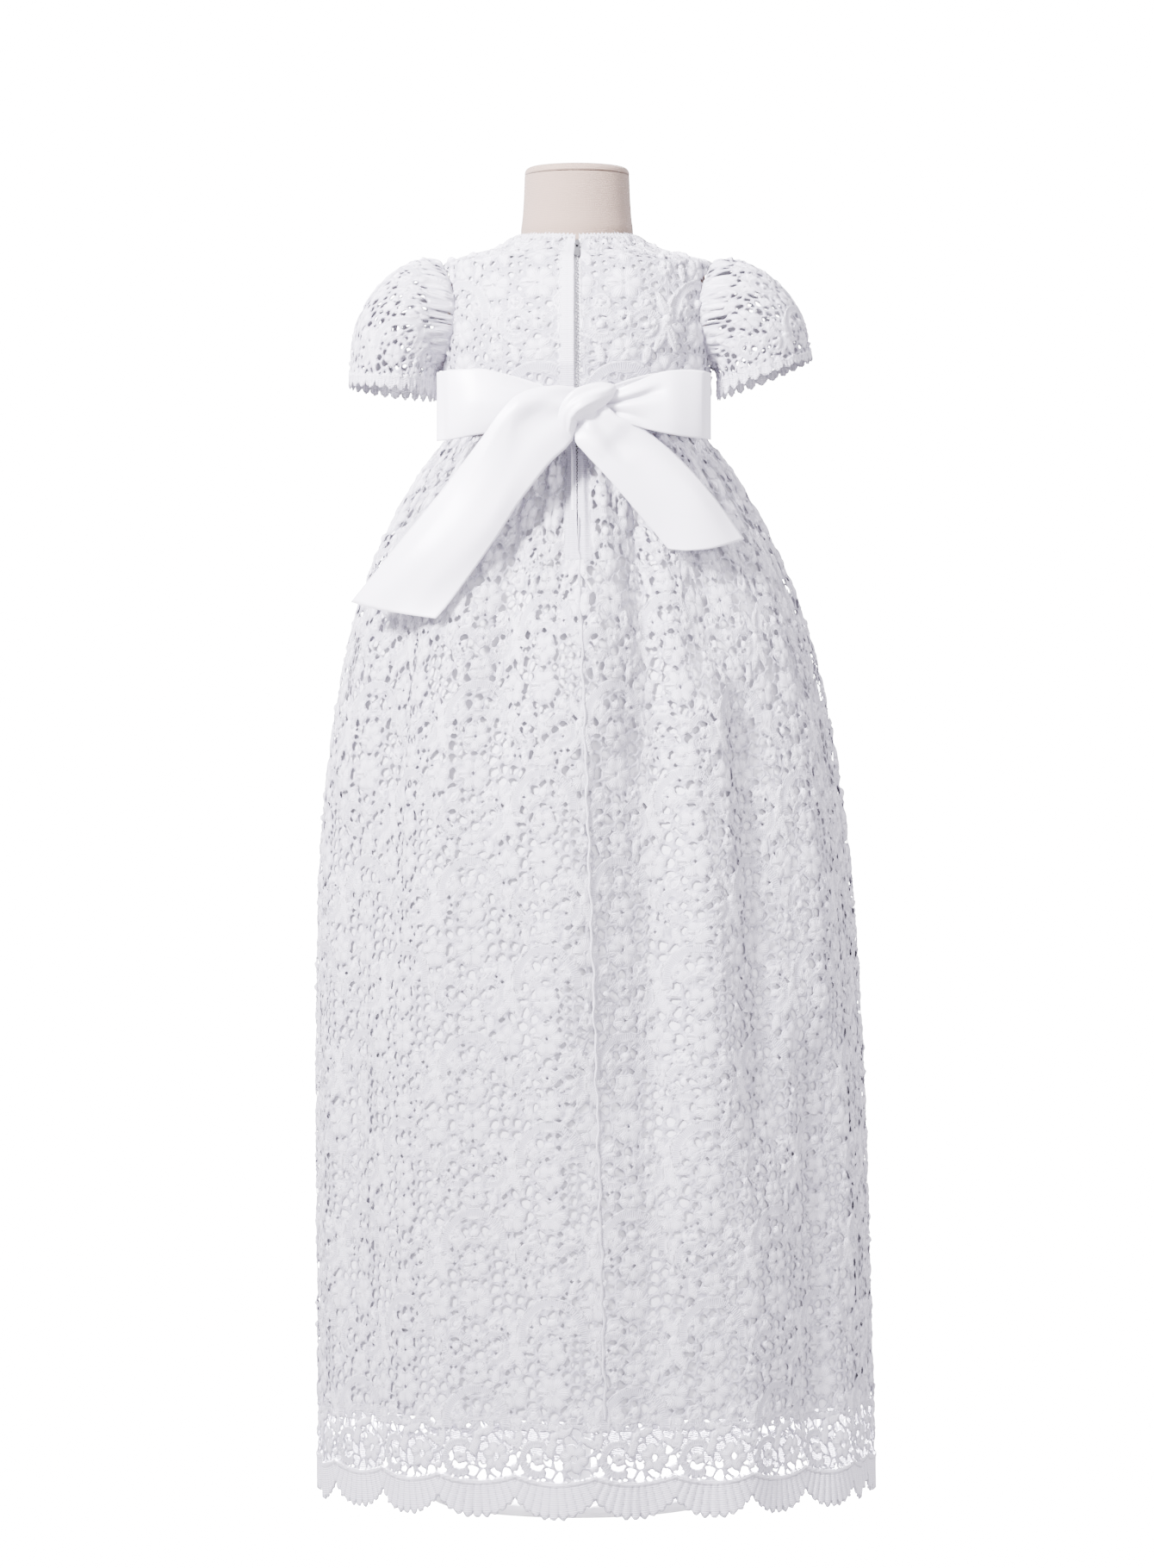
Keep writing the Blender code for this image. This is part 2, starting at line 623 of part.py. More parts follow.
def sleeve_half(name, side, first, last, material, collection):
    """Half of a puff sleeve, behind or before the arm; angles in degrees from the shoulder."""
    columns = SLEEVE_COLUMNS // 2
    angle = np.radians(np.linspace(first, last, columns + 1))
    ends = np.array([1.0] + [0.0] * (columns - 1) + [-1.0])
    angle = angle + ends * SEAM_GAP / ARMHOLE_HALF_DEPTH / 2
    rings = [sleeve_seam(angle)] + [
        sleeve_ring(row, side, angle) for row in range(len(SLEEVE_RINGS))
    ]
    valley = np.arange(columns + 1) % 2
    last_ring = rings[-1]
    edge = last_ring + (last_ring - rings[-2]) * 0.35
    drop = SLEEVE_SCALLOP_DEPTH * (1.0 - valley)[:, None]
    fall = (last_ring - rings[-2]) / np.linalg.norm(last_ring - rings[-2], axis=1)[:, None]
    rings.append(edge + fall * drop)
    outer = np.array(rings)
    middle = np.array([(ring[0] + ring[-1]) / 2 for ring in outer])[:, None, :]
    inward = middle - outer
    inward = inward / np.linalg.norm(inward, axis=2, keepdims=True)
    gathers = np.array([0.0] + [ring["gather"] for ring in SLEEVE_RINGS] + [0.0012])
    outer = outer + inward * gathers[:, None, None] * valley[None, :, None]
    inner = outer + inward * LACE_WALL
    outer[:, :, 0] *= side
    inner[:, :, 0] *= side
    gaps = {
        (row, column): (0.30, 0.0035)
        for row in (3, 5)
        for column in range(3, columns - 1, 4)
    }
    return wall(name, outer, inner, material, collection, gaps)


# Sash and bow

def sash_band(name, material, collection):
    """The satin sash round the waist, from behind one side of the knot to the other."""
    angle = np.radians(np.linspace(SASH_END_ANGLE, 360.0 - SASH_END_ANGLE, 33))
    z = np.array([SASH_TOP_Z, (SASH_TOP_Z + SASH_BOTTOM_Z) / 2, SASH_BOTTOM_Z])[:, None]
    angle, z = angle[None, :] + 0.0 * z, z + 0.0 * angle[None, :]
    outer = body_point(angle, z, SASH_LIFT + SATIN_WALL)
    inner = body_point(angle, z, SASH_LIFT)
    return wall(name, outer, inner, material, collection)


def bow_loop(name, table, material, collection):
    """A loop of ribbon, out along its front and back behind; it swells across its width."""
    across = np.linspace(-1.0, 1.0, RIBBON_STRIPS + 1)
    rows = []
    middle_y = sum(row[1] for row in table) / len(table)
    for x, y, z_low, z_high in table:
        z = (z_low + z_high) / 2 + across * (z_high - z_low) / 2
        swell = RIBBON_CROWN * (1.0 - across**2) * math.copysign(1.0, y - middle_y)
        rows.append(np.stack([x + 0.0 * z, y + swell, z], axis=-1))
    return ribbon(name, np.array(rows), material, collection)


def bow_tail(name, table, material, collection):
    """A hanging end of the ribbon, between its upper and its lower edge."""
    across = np.linspace(0.0, 1.0, RIBBON_STRIPS + 1)[:, None]
    rows = []
    for upper, lower in table:
        line = np.array(upper) + (np.array(lower) - np.array(upper)) * across
        line[:, 1] -= RIBBON_CROWN * np.sin(math.pi * across[:, 0])
        rows.append(line)
    return ribbon(name, np.array(rows), material, collection)


def bow_knot(name, material, collection):
    """The knot, a slanted soft lump."""
    shape = bmesh.new()
    bmesh.ops.create_uvsphere(shape, u_segments=12, v_segments=8, radius=1.0)
    for vertex in shape.verts:
        x, y, z = (vertex.co[k] * KNOT_HALF_SIZE[k] for k in range(3))
        vertex.co = Vector((x, y, z + KNOT_SLANT * x)) + Vector(KNOT_CENTRE)
    mesh = bpy.data.meshes.new(name)
    shape.to_mesh(mesh)
    shape.free()
    return add_object(name, mesh, material, collection)


# Zip

def back_line(z, outward):
    """A point of the centre back, on the skirt or the bodice, moved out."""
    if z < WAIST_Z:
        return skirt_point(np.array(0.0), np.array(z), main_folds(0.0, z) - outward)
    return body_point(np.array(0.0), np.array(z), outward)


def zip_chain(name, material, collection):
    """The zip's two rows of teeth as one strip, set between the edges of the back panels."""
    heights = [ZIP_END_Z] + [z for z in SKIRT_ROWS_Z[2::-1]]
    heights += [z for z in BODY_SECTIONS["z"] if WAIST_Z < z < ZIP_CHAIN_TOP_Z]
    heights.append(ZIP_CHAIN_TOP_Z)
    outer, inner = [], []
    for z in heights:
        for side, out in ((outer, -0.0002), (inner, -0.0002 - ZIP_CHAIN_WALL)):
            point = back_line(z, out)
            half = np.array([ZIP_CHAIN_WIDTH / 2, 0.0, 0.0])
            side.append([point - half, point + half])
    return wall(name, np.array(outer), np.array(inner), material, collection)


def slider_frame():
    """An empty's matrix on the chain: its Z points out of the cloth and its Y up the zip."""
    low, high = back_line(SLIDER_Z - 0.003, 0.0), back_line(SLIDER_Z + 0.003, 0.0)
    up = Vector((high - low).tolist()).normalized()
    side = Vector((1.0, 0.0, 0.0))
    out = side.cross(up).normalized()
    origin = Vector(back_line(SLIDER_Z, MESH_GAP).tolist())
    turn = Matrix((side, up, out)).transposed()
    return Matrix.Translation(origin) @ turn.to_4x4()


def box(shape, low, high):
    """A box between two corners."""
    size = Vector(high) - Vector(low)
    place = Matrix.Translation((Vector(high) + Vector(low)) / 2) @ Matrix.Diagonal((*size, 1.0))
    bmesh.ops.create_cube(shape, size=1.0, matrix=place)


def joined_boxes(name, boxes, frame, material, collection):
    """Boxes made one body by Boolean unions, placed by a parent empty."""
    pieces = []
    for low, high in boxes:
        shape = bmesh.new()
        box(shape, low, high)
        mesh = bpy.data.meshes.new(name)
        shape.to_mesh(mesh)
        shape.free()
        pieces.append(mesh)
    piece = add_object(name, pieces[0], material, collection)
    piece.parent = frame
    for mesh in pieces[1:]:
        cutter = bpy.data.objects.new(name + "_block", mesh)
        cutter.parent = frame
        cutter.hide_render = True
        cutter.display_type = "WIRE"
        bpy.data.collections["shaping_blocks"].objects.link(cutter)
        union = piece.modifiers.new("join", "BOOLEAN")
        union.operation = "UNION"
        union.object = cutter
    return piece


def zip_slider_and_pull(materials, collection):
    """The slider with its bridge, and the pull tab that hangs and swings on the bridge."""
    frame = bpy.data.objects.new("zip_slider_frame", None)
    frame.matrix_world = slider_frame()
    collection.objects.link(frame)
    half, long, thick = SLIDER_WIDTH / 2, SLIDER_LENGTH / 2, SLIDER_THICKNESS
    bridge, reach, rise = BRIDGE_WIDTH / 2, BRIDGE_LENGTH / 2, BRIDGE_RISE
    foot = 0.0007
    slider = [
        ((-half, -long, 0.0), (half, long, thick)),
        ((-bridge, reach - foot, thick / 2), (bridge, reach, thick + rise)),
        ((-bridge, -reach, thick / 2), (bridge, foot - reach, thick + rise)),
        ((-bridge, -reach, thick + rise - BRIDGE_BAR), (bridge, reach, thick + rise)),
    ]
    joined_boxes("zip_slider", slider, frame, materials["nickel"], collection)
    axis_height = thick + (rise - BRIDGE_BAR) / 2
    hinge = bpy.data.objects.new("zip_pull_axis", None)
    hinge.parent = frame
    hinge.location = (0.0, 0.0, axis_height)
    collection.objects.link(hinge)
    wide, eye, bar = PULL_WIDTH / 2, PULL_EYE_WIDTH / 2, PULL_BAR / 2
    tab_end, eye_end = -PULL_LENGTH, -PULL_EYE_LENGTH
    pull = [
        ((-wide, -bar, -bar), (wide, bar, bar)),
        ((-wide, eye_end - 0.0005, -bar), (-eye, bar / 2, bar)),
        ((eye, eye_end - 0.0005, -bar), (wide, bar / 2, bar)),
        ((-wide, tab_end, -bar), (wide, eye_end, bar)),
    ]
    joined_boxes("zip_pull", pull, hinge, materials["nickel"], collection)
    return frame, hinge


def build():
    """Makes the whole gown on its form."""
    clear_scene()
    collection = bpy.data.collections.new("christening_gown")
    bpy.context.scene.collection.children.link(collection)
    blocks = bpy.data.collections.new("shaping_blocks")
    bpy.context.scene.collection.children.link(blocks)
    materials = {
        "lace": make_material("white_guipure_lace", (0.90, 0.90, 0.91), 0.75),
        "lining": make_material("white_lining", (0.88, 0.88, 0.89), 0.55),
        "satin": make_material("white_satin", (0.93, 0.93, 0.95), 0.32),
        "linen": make_material("natural_linen", (0.72, 0.62, 0.53), 0.85),
        "nickel": make_material("nickel", (0.72, 0.72, 0.73), 0.30, 1.0),
        "tape": make_material("white_zip", (0.86, 0.86, 0.87), 0.6),
        "white_metal": make_material("white_painted_metal", (0.88, 0.88, 0.88), 0.4),
    }
    lace, satin = materials["lace"], materials["satin"]
    dress_form(materials, collection)
    bodice_front("bodice_front", lace, collection)
    bodice_back("bodice_back_left", -1, lace, collection)
    bodice_back("bodice_back_right", 1, lace, collection)
    for word, side in (("left", -1), ("right", 1)):
        sleeve_half(f"sleeve_{word}_back", side, 0.0, 180.0, lace, collection)
        sleeve_half(f"sleeve_{word}_front", side, 180.0, 360.0, lace, collection)
    skirt_panel("skirt_back_right", 0.0, 90.0, lace, collection, 1)
    skirt_panel("skirt_front", 90.0, 270.0, lace, collection)
    skirt_panel("skirt_back_left", 270.0, 360.0, lace, collection, -1)
    lining = materials["lining"]
    lining_quarter("lining_back_right", 0.0, 90.0, lining, collection)
    lining_quarter("lining_front_right", 90.0, 180.0, lining, collection)
    lining_quarter("lining_front_left", 180.0, 270.0, lining, collection)
    lining_quarter("lining_back_left", 270.0, 360.0, lining, collection)
    border_panel("border_front", 90.0, 270.0, lace, collection)
    border_panel("border_back", -90.0, 90.0, lace, collection)
    sash_band("sash", satin, collection)
    bow_loop("bow_loop_left", LEFT_LOOP, satin, collection)
    bow_loop("bow_loop_right", RIGHT_LOOP, satin, collection)
    bow_tail("bow_tail_left", LEFT_TAIL, satin, collection)
    bow_tail("bow_tail_right", RIGHT_TAIL, satin, collection)
    bow_knot("bow_knot", satin, collection)
    zip_chain("zip_chain", materials["tape"], collection)
    zip_slider_and_pull(materials, collection)


build()
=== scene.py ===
"""White lace christening gown on an infant dress form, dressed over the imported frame.

Metres, +Z up; the gown's back faces -Y. A lace piece is worked out flat first: for each point of
the cloth, in millimetres, a pattern says how far inside the thread work it lies, how high its
relief stands and how far along its stitches it is. A surface then gives that point its place.
"""

import math

import bpy
import numpy as np
from bpy.props import FloatProperty, FloatVectorProperty, PointerProperty
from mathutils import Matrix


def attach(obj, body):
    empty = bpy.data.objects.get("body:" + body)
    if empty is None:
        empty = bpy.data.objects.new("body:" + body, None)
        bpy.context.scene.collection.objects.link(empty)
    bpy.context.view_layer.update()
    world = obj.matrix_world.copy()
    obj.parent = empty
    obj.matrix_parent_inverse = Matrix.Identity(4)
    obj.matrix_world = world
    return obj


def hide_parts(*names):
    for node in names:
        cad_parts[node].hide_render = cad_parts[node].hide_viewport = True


bl_info = {
    "name": "Lace christening gown",
    "version": (1, 0, 0),
    "blender": (4, 5, 0),
    "location": "3D View > Sidebar > Gown",
    "description": "Dresses a christening gown and its form over their solid frame",
    "category": "Add Mesh",
}

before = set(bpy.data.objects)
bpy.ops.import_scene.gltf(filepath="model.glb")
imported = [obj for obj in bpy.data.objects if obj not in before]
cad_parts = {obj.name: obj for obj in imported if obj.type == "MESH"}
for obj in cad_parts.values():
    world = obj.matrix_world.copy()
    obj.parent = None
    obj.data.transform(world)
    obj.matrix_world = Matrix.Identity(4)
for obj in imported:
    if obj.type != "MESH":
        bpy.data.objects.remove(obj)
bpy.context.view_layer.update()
BODY = "gown_on_form"
TURN = 2 * math.pi

# Heights above the floor
HEM_Z = 0.004
BORDER_TOP_Z = 0.0705
LINING_HEM_Z = 0.072
ZIP_END_Z = 0.704
WAIST_Z = 0.760
UNDERARM_Z = 0.810
SHOULDER_Z = 0.885
FRONT_NECK_Z = 0.879
BACK_NECK_Z = 0.9025
SIDE_NECK_Z = 0.905

# Bodice, outer surface of the frame: height, half width, half depth, forward shift
BODY_SECTIONS = {
    "z": [0.760, 0.784, 0.810, 0.830, 0.850, 0.866, 0.876, 0.885, 0.889, 0.895, 0.905],
    "half_width": [0.092, 0.0935, 0.096, 0.097, 0.0975, 0.097, 0.0965, 0.096, 0.082, 0.060, 0.0445],
    "half_depth": [0.068, 0.070, 0.072, 0.071, 0.0675, 0.0625, 0.058, 0.053, 0.0505, 0.047, 0.0415],
    "forward": [0.0, 0.0, 0.0, 0.0, 0.001, 0.002, 0.003, 0.003, 0.004, 0.004, 0.005],
}
ARMHOLE_HALF_DEPTH = 0.030
ARMHOLE_FORWARD = 0.002

# Skirt
HEM_HALF_WIDTH = 0.202
FLARE_AT_WAIST = 0.108
FLARE_LENGTH = 0.126
DEPTH_RATIO = 0.72
DEPTH_RATIO_AT_WAIST = 0.7235
HEM_SWAY = 0.0125
GATHERS = 44
GATHER_AT_SEAM = 0.0022
GATHER_BELOW = 0.0050
GATHER_FADE = 0.13
BROAD_FOLDS = 11
BROAD_FOLD_DEPTH = 0.006
LACE_REPEATS = 22
ZIP_OPENING = 0.0034

# Named folds: angle in degrees at the top and bottom, half width in degrees, depth and heights.
# The share scales all their depths.
FOLD_SHARE = 1.3
FOLD_COLUMNS = ("angle_top", "angle_bottom", "half_width", "depth", "z_top", "z_bottom")
FOLDS = [
    (19.5, 12.5, 5.0, 0.0120, 0.753, 0.170),
    (-4.5, -6.0, 4.2, 0.0080, 0.758, 0.600),
    (6.5, 5.0, 4.2, 0.0050, 0.560, 0.220),
    (37.0, 33.0, 5.0, 0.0080, 0.753, 0.560),
    (41.0, 38.0, 5.0, 0.0080, 0.600, 0.200),
    (57.0, 54.0, 5.0, 0.0090, 0.360, 0.000),
    (-17.5, -20.0, 5.0, 0.0070, 0.740, 0.520),
    (-50.0, -47.0, 5.0, 0.0060, 0.660, 0.330),
    (-62.0, -60.0, 5.0, 0.0060, 0.520, 0.060),
    (164.0, 170.0, 5.0, 0.0110, 0.745, 0.150),
    (187.0, 184.0, 4.5, 0.0060, 0.720, 0.420),
    (143.0, 146.0, 5.0, 0.0080, 0.740, 0.300),
    (122.0, 124.0, 5.0, 0.0090, 0.480, 0.020),
    (206.0, 203.0, 5.0, 0.0100, 0.745, 0.220),
    (229.0, 226.0, 5.0, 0.0070, 0.700, 0.280),
    (250.0, 247.0, 5.0, 0.0080, 0.460, 0.030),
]

# Centre-back seam: its ends, and its height above the lace at its edges and in its middle
SEAM_LOW_Z = 0.074
SEAM_BELOW_ZIP = 0.006
SEAM_HEIGHT = 0.0010
SEAM_CROWN = 0.0011

# Zip: how far each part lies out from the bodice, and how much deeper it lies in the skirt
ZIP_TOP_Z = 0.8985
ZIP_IN_SKIRT = 0.0009
TOOTH_PITCH = 0.0013
TOOTH_OUT = -0.0004
TOOTH_ASIDE = 0.00045
TOOTH_HALF_SIZE = (0.0007, 0.0005, 0.0004)
TAPE_OUT = -0.0013
TAPE_HALF_WIDTH = 0.0040

# Sleeves: flat cloth all round, and from the cuff up over the shoulder and under the arm
SLEEVE_WIDTH = 0.288
SLEEVE_OVER = 0.132
SLEEVE_UNDER = 0.027
SLEEVE_GATHERS = 26
SLEEVE_LACE_SCALE = 0.8
CUFF_SCALLOPS = 26
CUFF_SCALE = 0.34

# Where the sleeve meets the bodice: its edge, and the oval of the wall that it's sewn to
SLEEVE_START_X = 0.0965
SLEEVE_WALL_HALF_WIDTH = 0.0975
SLEEVE_WALL_HALF_DEPTH = 0.0705
SLEEVE_WALL_FORWARD = 0.001

# Rings of the sleeve: outer and inner edge seen from behind, half depth, and how far down the
# sleeve each is as a share
SLEEVE_COLUMNS = ("outer_x", "outer_z", "inner_x", "inner_z", "half_depth", "share")
SLEEVE_RINGS = [
    (0.1080, 0.8895, 0.0995, 0.8095, 0.0390, 0.08),
    (0.1240, 0.8850, 0.1005, 0.8080, 0.0440, 0.22),
    (0.1410, 0.8710, 0.1010, 0.8060, 0.0460, 0.38),
    (0.1540, 0.8530, 0.1010, 0.8030, 0.0460, 0.54),
    (0.1610, 0.8330, 0.1010, 0.7990, 0.0450, 0.70),
    (0.1630, 0.8100, 0.1010, 0.7945, 0.0430, 0.88),
    (0.1642, 0.7965, 0.1010, 0.7880, 0.0425, 1.00),
]
RIGHT_CUFF_FLARE = 0.0055
RIGHT_CUFF_LIFT = 0.020

# Sash and bow. A loop has one row for each section of its ribbon: x, y, lower and upper edge.
SASH_TOP_Z = 0.8045
SASH_BOTTOM_Z = 0.7615
SASH_OUT = 0.0021
LEFT_LOOP = [
    (-0.0109, -0.0940, 0.7620, 0.7800),
    (-0.0290, -0.0975, 0.7600, 0.7915),
    (-0.0500, -0.0990, 0.7575, 0.7985),
    (-0.0700, -0.0970, 0.7560, 0.8025),
    (-0.0900, -0.0880, 0.7530, 0.8020),
    (-0.0985, -0.0785, 0.7530, 0.8010),
    (-0.0930, -0.0735, 0.7545, 0.8000),
    (-0.0740, -0.0750, 0.7570, 0.7990),
    (-0.0500, -0.0795, 0.7600, 0.7955),
    (-0.0290, -0.0840, 0.7630, 0.7905),
    (-0.0121, -0.0870, 0.7640, 0.7800),
]
RIGHT_LOOP = [
    (0.0204, -0.0945, 0.7680, 0.7850),
    (0.0400, -0.0995, 0.7625, 0.7925),
    (0.0620, -0.0990, 0.7570, 0.8005),
    (0.0800, -0.0920, 0.7545, 0.8020),
    (0.0900, -0.0850, 0.7540, 0.8015),
    (0.0940, -0.0780, 0.7540, 0.8005),
    (0.0900, -0.0730, 0.7555, 0.7995),
    (0.0730, -0.0760, 0.7580, 0.7980),
    (0.0530, -0.0800, 0.7615, 0.7945),
    (0.0370, -0.0845, 0.7650, 0.7900),
    (0.0215, -0.0870, 0.7700, 0.7850),
]
CREASE_COLUMNS = ("knot_end", "far_end", "reach", "depth")
LEFT_CREASES = [(0.45, 0.85, 0.26, 0.0026), (-0.35, -0.80, 0.20, 0.0022)]
RIGHT_CREASES = [(0.15, 0.42, 0.30, 0.0044), (-0.40, -0.75, 0.24, 0.0024)]

# Tails: sections down the ribbon, five points (x, y, z in mm) from edge to edge in each
LEFT_TAIL = [
    ((0.6, -97, 788.5), (1.2, -99, 781.7), (1.2, -99, 775.1), (0.6, -99, 767.8),
     (-1.2, -98, 759.5)),
    ((-12, -101, 790.1), (-14.4, -105, 783), (-15, -104, 774.7), (-12, -104.5, 764.4),
     (-3.6, -100, 752.1)),
    ((-27.1, -103, 788.7), (-30.6, -109, 779.7), (-28.8, -104.5, 769.2), (-21, -106, 758.9),
     (-6.6, -102, 747.7)),
    ((-40.9, -104.5, 783.8), (-42, -110, 773.7), (-39.6, -107, 761.8), (-31.2, -107.5, 749.8),
     (-18, -103, 736.9)),
    ((-52.3, -105, 773), (-51, -109, 761.7), (-46.8, -108.5, 749.7), (-39, -107.5, 737.7),
     (-28.9, -103, 723.6)),
    ((-66.2, -103.5, 753.8), (-62.5, -108, 742.6), (-56.4, -109, 731.1), (-48.6, -108, 721),
     (-40.3, -103, 708.6)),
    ((-90.3, -98, 722.7), (-82.4, -103.5, 712.8), (-73.9, -106, 703), (-64.9, -107, 693.3),
     (-55.9, -104, 684.5)),
    ((-118.8, -92, 688.1), (-109, -99, 679.3), (-98.6, -103, 670.7), (-87.7, -105.5, 662.8),
     (-76.3, -104.5, 655.6)),
    ((-144, -82, 657.8), (-132.7, -91, 651.4), (-120.5, -97, 645.7), (-107, -102, 640.7),
     (-90.8, -104, 636.4)),
    ((-158.8, -76, 639.9), (-146.2, -86, 635.9), (-131.4, -94, 632.6), (-115.5, -100.5, 629.9),
     (-98.6, -104, 627.4)),
]
RIGHT_TAIL = [
    ((-1.2, -97, 758.9), (1.2, -98, 764.9), (6, -98, 769.8), (12.1, -98, 774.2),
     (19.3, -97, 777.5)),
    ((-1.2, -100, 752.1), (4.2, -104, 756.7), (10.8, -103, 761.6), (16.9, -102, 766.8),
     (24.1, -101, 772.8)),
    ((6, -101, 742.4), (12, -106, 748.7), (18.6, -101, 755), (24.7, -102, 761.5),
     (30.8, -101, 767.5)),
    ((16.2, -101.5, 731.5), (22.3, -103.5, 738.8), (28.9, -97, 747), (36.2, -99, 754.5),
     (42.9, -97, 762.2)),
    ((25.3, -100.5, 721.4), (33.1, -103, 729.1), (40.3, -100, 737.1), (48.2, -98, 745.8),
     (55.6, -92, 753.7)),
    ((37.3, -99.5, 707.6), (45.7, -102.5, 715.3), (54.2, -101, 723.2), (63.3, -96.5, 731.3),
     (71.9, -87, 739.9)),
    ((51.8, -98.5, 690.8), (62, -101, 696.7), (72.8, -99.5, 704), (83.8, -94.5, 711.5),
     (95, -83, 714.6)),
    ((63.8, -98, 676.4), (76.4, -99, 675.1), (89.8, -96, 675.9), (103.8, -90, 679.2),
     (117.5, -79.5, 684)),
]

# Knot: the roll of ribbon that wraps it, as points (x, y, z) and its radius, in mm
KNOT_ROLL = [
    (27.5, -97.0, 789.0, 0.4),
    (25.3, -98.0, 788.4, 3.4),
    (19.3, -100.0, 785.8, 7.2),
    (11.4, -101.0, 782.6, 9.4),
    (3.6, -101.5, 778.8, 10.0),
    (-3.0, -101.5, 773.4, 8.8),
    (-6.6, -101.0, 766.2, 6.8),
    (-6.8, -100.0, 759.5, 4.6),
    (-4.4, -99.0, 753.6, 2.2),
    (-3.2, -98.5, 751.8, 0.4),
]
# The knot's core, in metres, and the radius of the knot's flat map
KNOT_CENTRE = (0.0048, -0.0875, 0.7722)
KNOT_HALF_SIZE = (0.0150, 0.0150, 0.0115)
KNOT_ROUND = 0.010

# Dress form: how far it lies inside the bodice, the radius of its flat map, sections of the
# torso below the waist and of the neck, and outlines of the pole and base as (radius, height)
FORM_INSET = 0.0042
FORM_ROUND = 0.08
FORM_SECTIONS = {
    "z": [0.600, 0.640, 0.690, 0.742, 0.758],
    "half_width": [0.078, 0.085, 0.088, 0.086, 0.0855],
    "half_depth": [0.058, 0.063, 0.064, 0.0605, 0.0605],
    "forward": [0.0, 0.0, 0.0, 0.0, 0.0],
}
FORM_NECK = {
    "z": [0.909, 0.920, 0.936, 0.950],
    "half_width": [0.0405, 0.0393, 0.0383, 0.0378],
    "half_depth": [0.0378, 0.0370, 0.0362, 0.0358],
    "forward": [0.005, 0.006, 0.007, 0.008],
}
POLE_OUTLINE = [
    (0.0005, 0.0093), (0.0098, 0.0093), (0.010, 0.0096),
    (0.010, 0.5994), (0.0098, 0.5997), (0.0005, 0.5997),
]
BASE_OUTLINE = [
    (0.0005, 0.0), (0.1042, 0.0), (0.1050, 0.0008), (0.1050, 0.0068),
    (0.1042, 0.0082), (0.1025, 0.0090), (0.0005, 0.0090),
]

# Lamps: name, place, the point it faces, size, power against the key's, spread in degrees.
# The last one lights the inside of the skirt, down to its open border.
LAMP_COLOUR = (0.97, 0.94, 1.0)
LAMPS = [
    ("key", (-1.3, -1.45, 1.75), (0.0, 0.0, 1.1), 0.5, 1.0, 85.0),
    ("fill", (2.0, -3.0, 1.2), (0.0, 0.0, 0.4), 2.4, 1.05, 180.0),
    ("top", (0.0, -0.4, 3.2), (0.0, 0.0, 0.4), 1.6, 0.6, 180.0),
    ("inside", (0.0, 0.06, 0.42), (0.0, 0.0, 0.0), 0.08, 0.5, 180.0),
]
ROOM_COLOUR = (0.95, 0.91, 1.0, 1.0)
ROOM_STRENGTH = 1.8

# Backdrop: a floor from its front edge to a curve, and a wall
FLOOR_FRONT_Y = -7.0
CURVE_START_Y = 7.0
CURVE_RADIUS = 1.5
WALL_TOP_Z = 9.0
BACKDROP_HALF_WIDTH = 9.0
BACKDROP_GLOW = 16.0


# Settings that a user would change

class GownLace(bpy.types.PropertyGroup):
    """Sizes and colour of the lace."""
    repeat_width: FloatProperty(
        name="Repeat width", description="Width of one lace repeat in flat cloth",
        default=0.060, unit="LENGTH")
    repeat_height: FloatProperty(
        name="Repeat height", description="Height of one lace repeat in flat cloth",
        default=0.122, unit="LENGTH")
    grid: FloatProperty(
        name="Grid", description="Size of the mesh's squares on the skirt", default=0.0017,
        unit="LENGTH")
    front_grid: FloatProperty(
        name="Front grid", description="Size of the squares at the front against the back",
        default=1.2)
    fine_grid: FloatProperty(
        name="Fine grid", description="Size of the mesh's squares on the open border and sleeves",
        default=0.0012, unit="LENGTH")
    relief: FloatProperty(
        name="Relief", description="Share of the full height of the padded motifs", default=1.0,
        subtype="FACTOR")
    thickness: FloatProperty(
        name="Thickness", description="Thickness of the open lace", default=0.0008, unit="LENGTH")
    thread_pitch: FloatProperty(
        name="Stitch pitch", description="Distance from stitch to stitch", default=0.0015,
        unit="LENGTH")
    colour: FloatVectorProperty(
        name="Thread colour", description="Colour of the thread", size=3, subtype="COLOR",
        default=(0.82, 0.80, 0.87))
    # Painted shade: a dark colour for the lace where it lies low, between its raised threads, in
    # place of the shade that falls there.
    shade: FloatVectorProperty(
        name="Painted shade colour", description="Painted shade of the lace between its raised threads", size=3,
        subtype="COLOR", default=(0.32, 0.31, 0.37))


class GownRibbon(bpy.types.PropertyGroup):
    """Thickness, colour and gloss of the satin."""
    thickness: FloatProperty(
        name="Thickness", description="Thickness of the ribbon", default=0.0007, unit="LENGTH")
    crown: FloatProperty(
        name="Crown", description="How far the ribbon swells across its width", default=0.004,
        unit="LENGTH")
    colour: FloatVectorProperty(
        name="Satin colour", description="Colour of the satin", size=3, subtype="COLOR",
        default=(0.82, 0.80, 0.87))
    roughness: FloatProperty(
        name="Roughness", description="Roughness of the satin's face", default=0.34,
        subtype="FACTOR")


class GownForm(bpy.types.PropertyGroup):
    """Colours and cap of the dress form."""
    linen: FloatVectorProperty(
        name="Linen colour", description="Colour of the form's cover", size=3, subtype="COLOR",
        default=(0.27, 0.19, 0.145))
    cap_height: FloatProperty(
        name="Cap height", description="Height of the neck's cap", default=0.0057, unit="LENGTH")
    paint: FloatVectorProperty(
        name="Paint colour", description="Colour of the pole and the base", size=3,
        subtype="COLOR", default=(0.80, 0.80, 0.80))


class GownStage(bpy.types.PropertyGroup):
    """Camera and light."""
    distance: FloatProperty(
        name="Camera distance", description="From the camera to the gown's middle", default=3.4,
        unit="LENGTH")
    height: FloatProperty(
        name="Camera height", description="Height of the camera above the floor", default=0.512,
        unit="LENGTH")
    lens: FloatProperty(
        name="Lens", description="Focal length in millimetres", default=108.5)
    key: FloatProperty(name="Key light", description="Power of the main light", default=98.0,
                       unit="POWER")


# Arrays

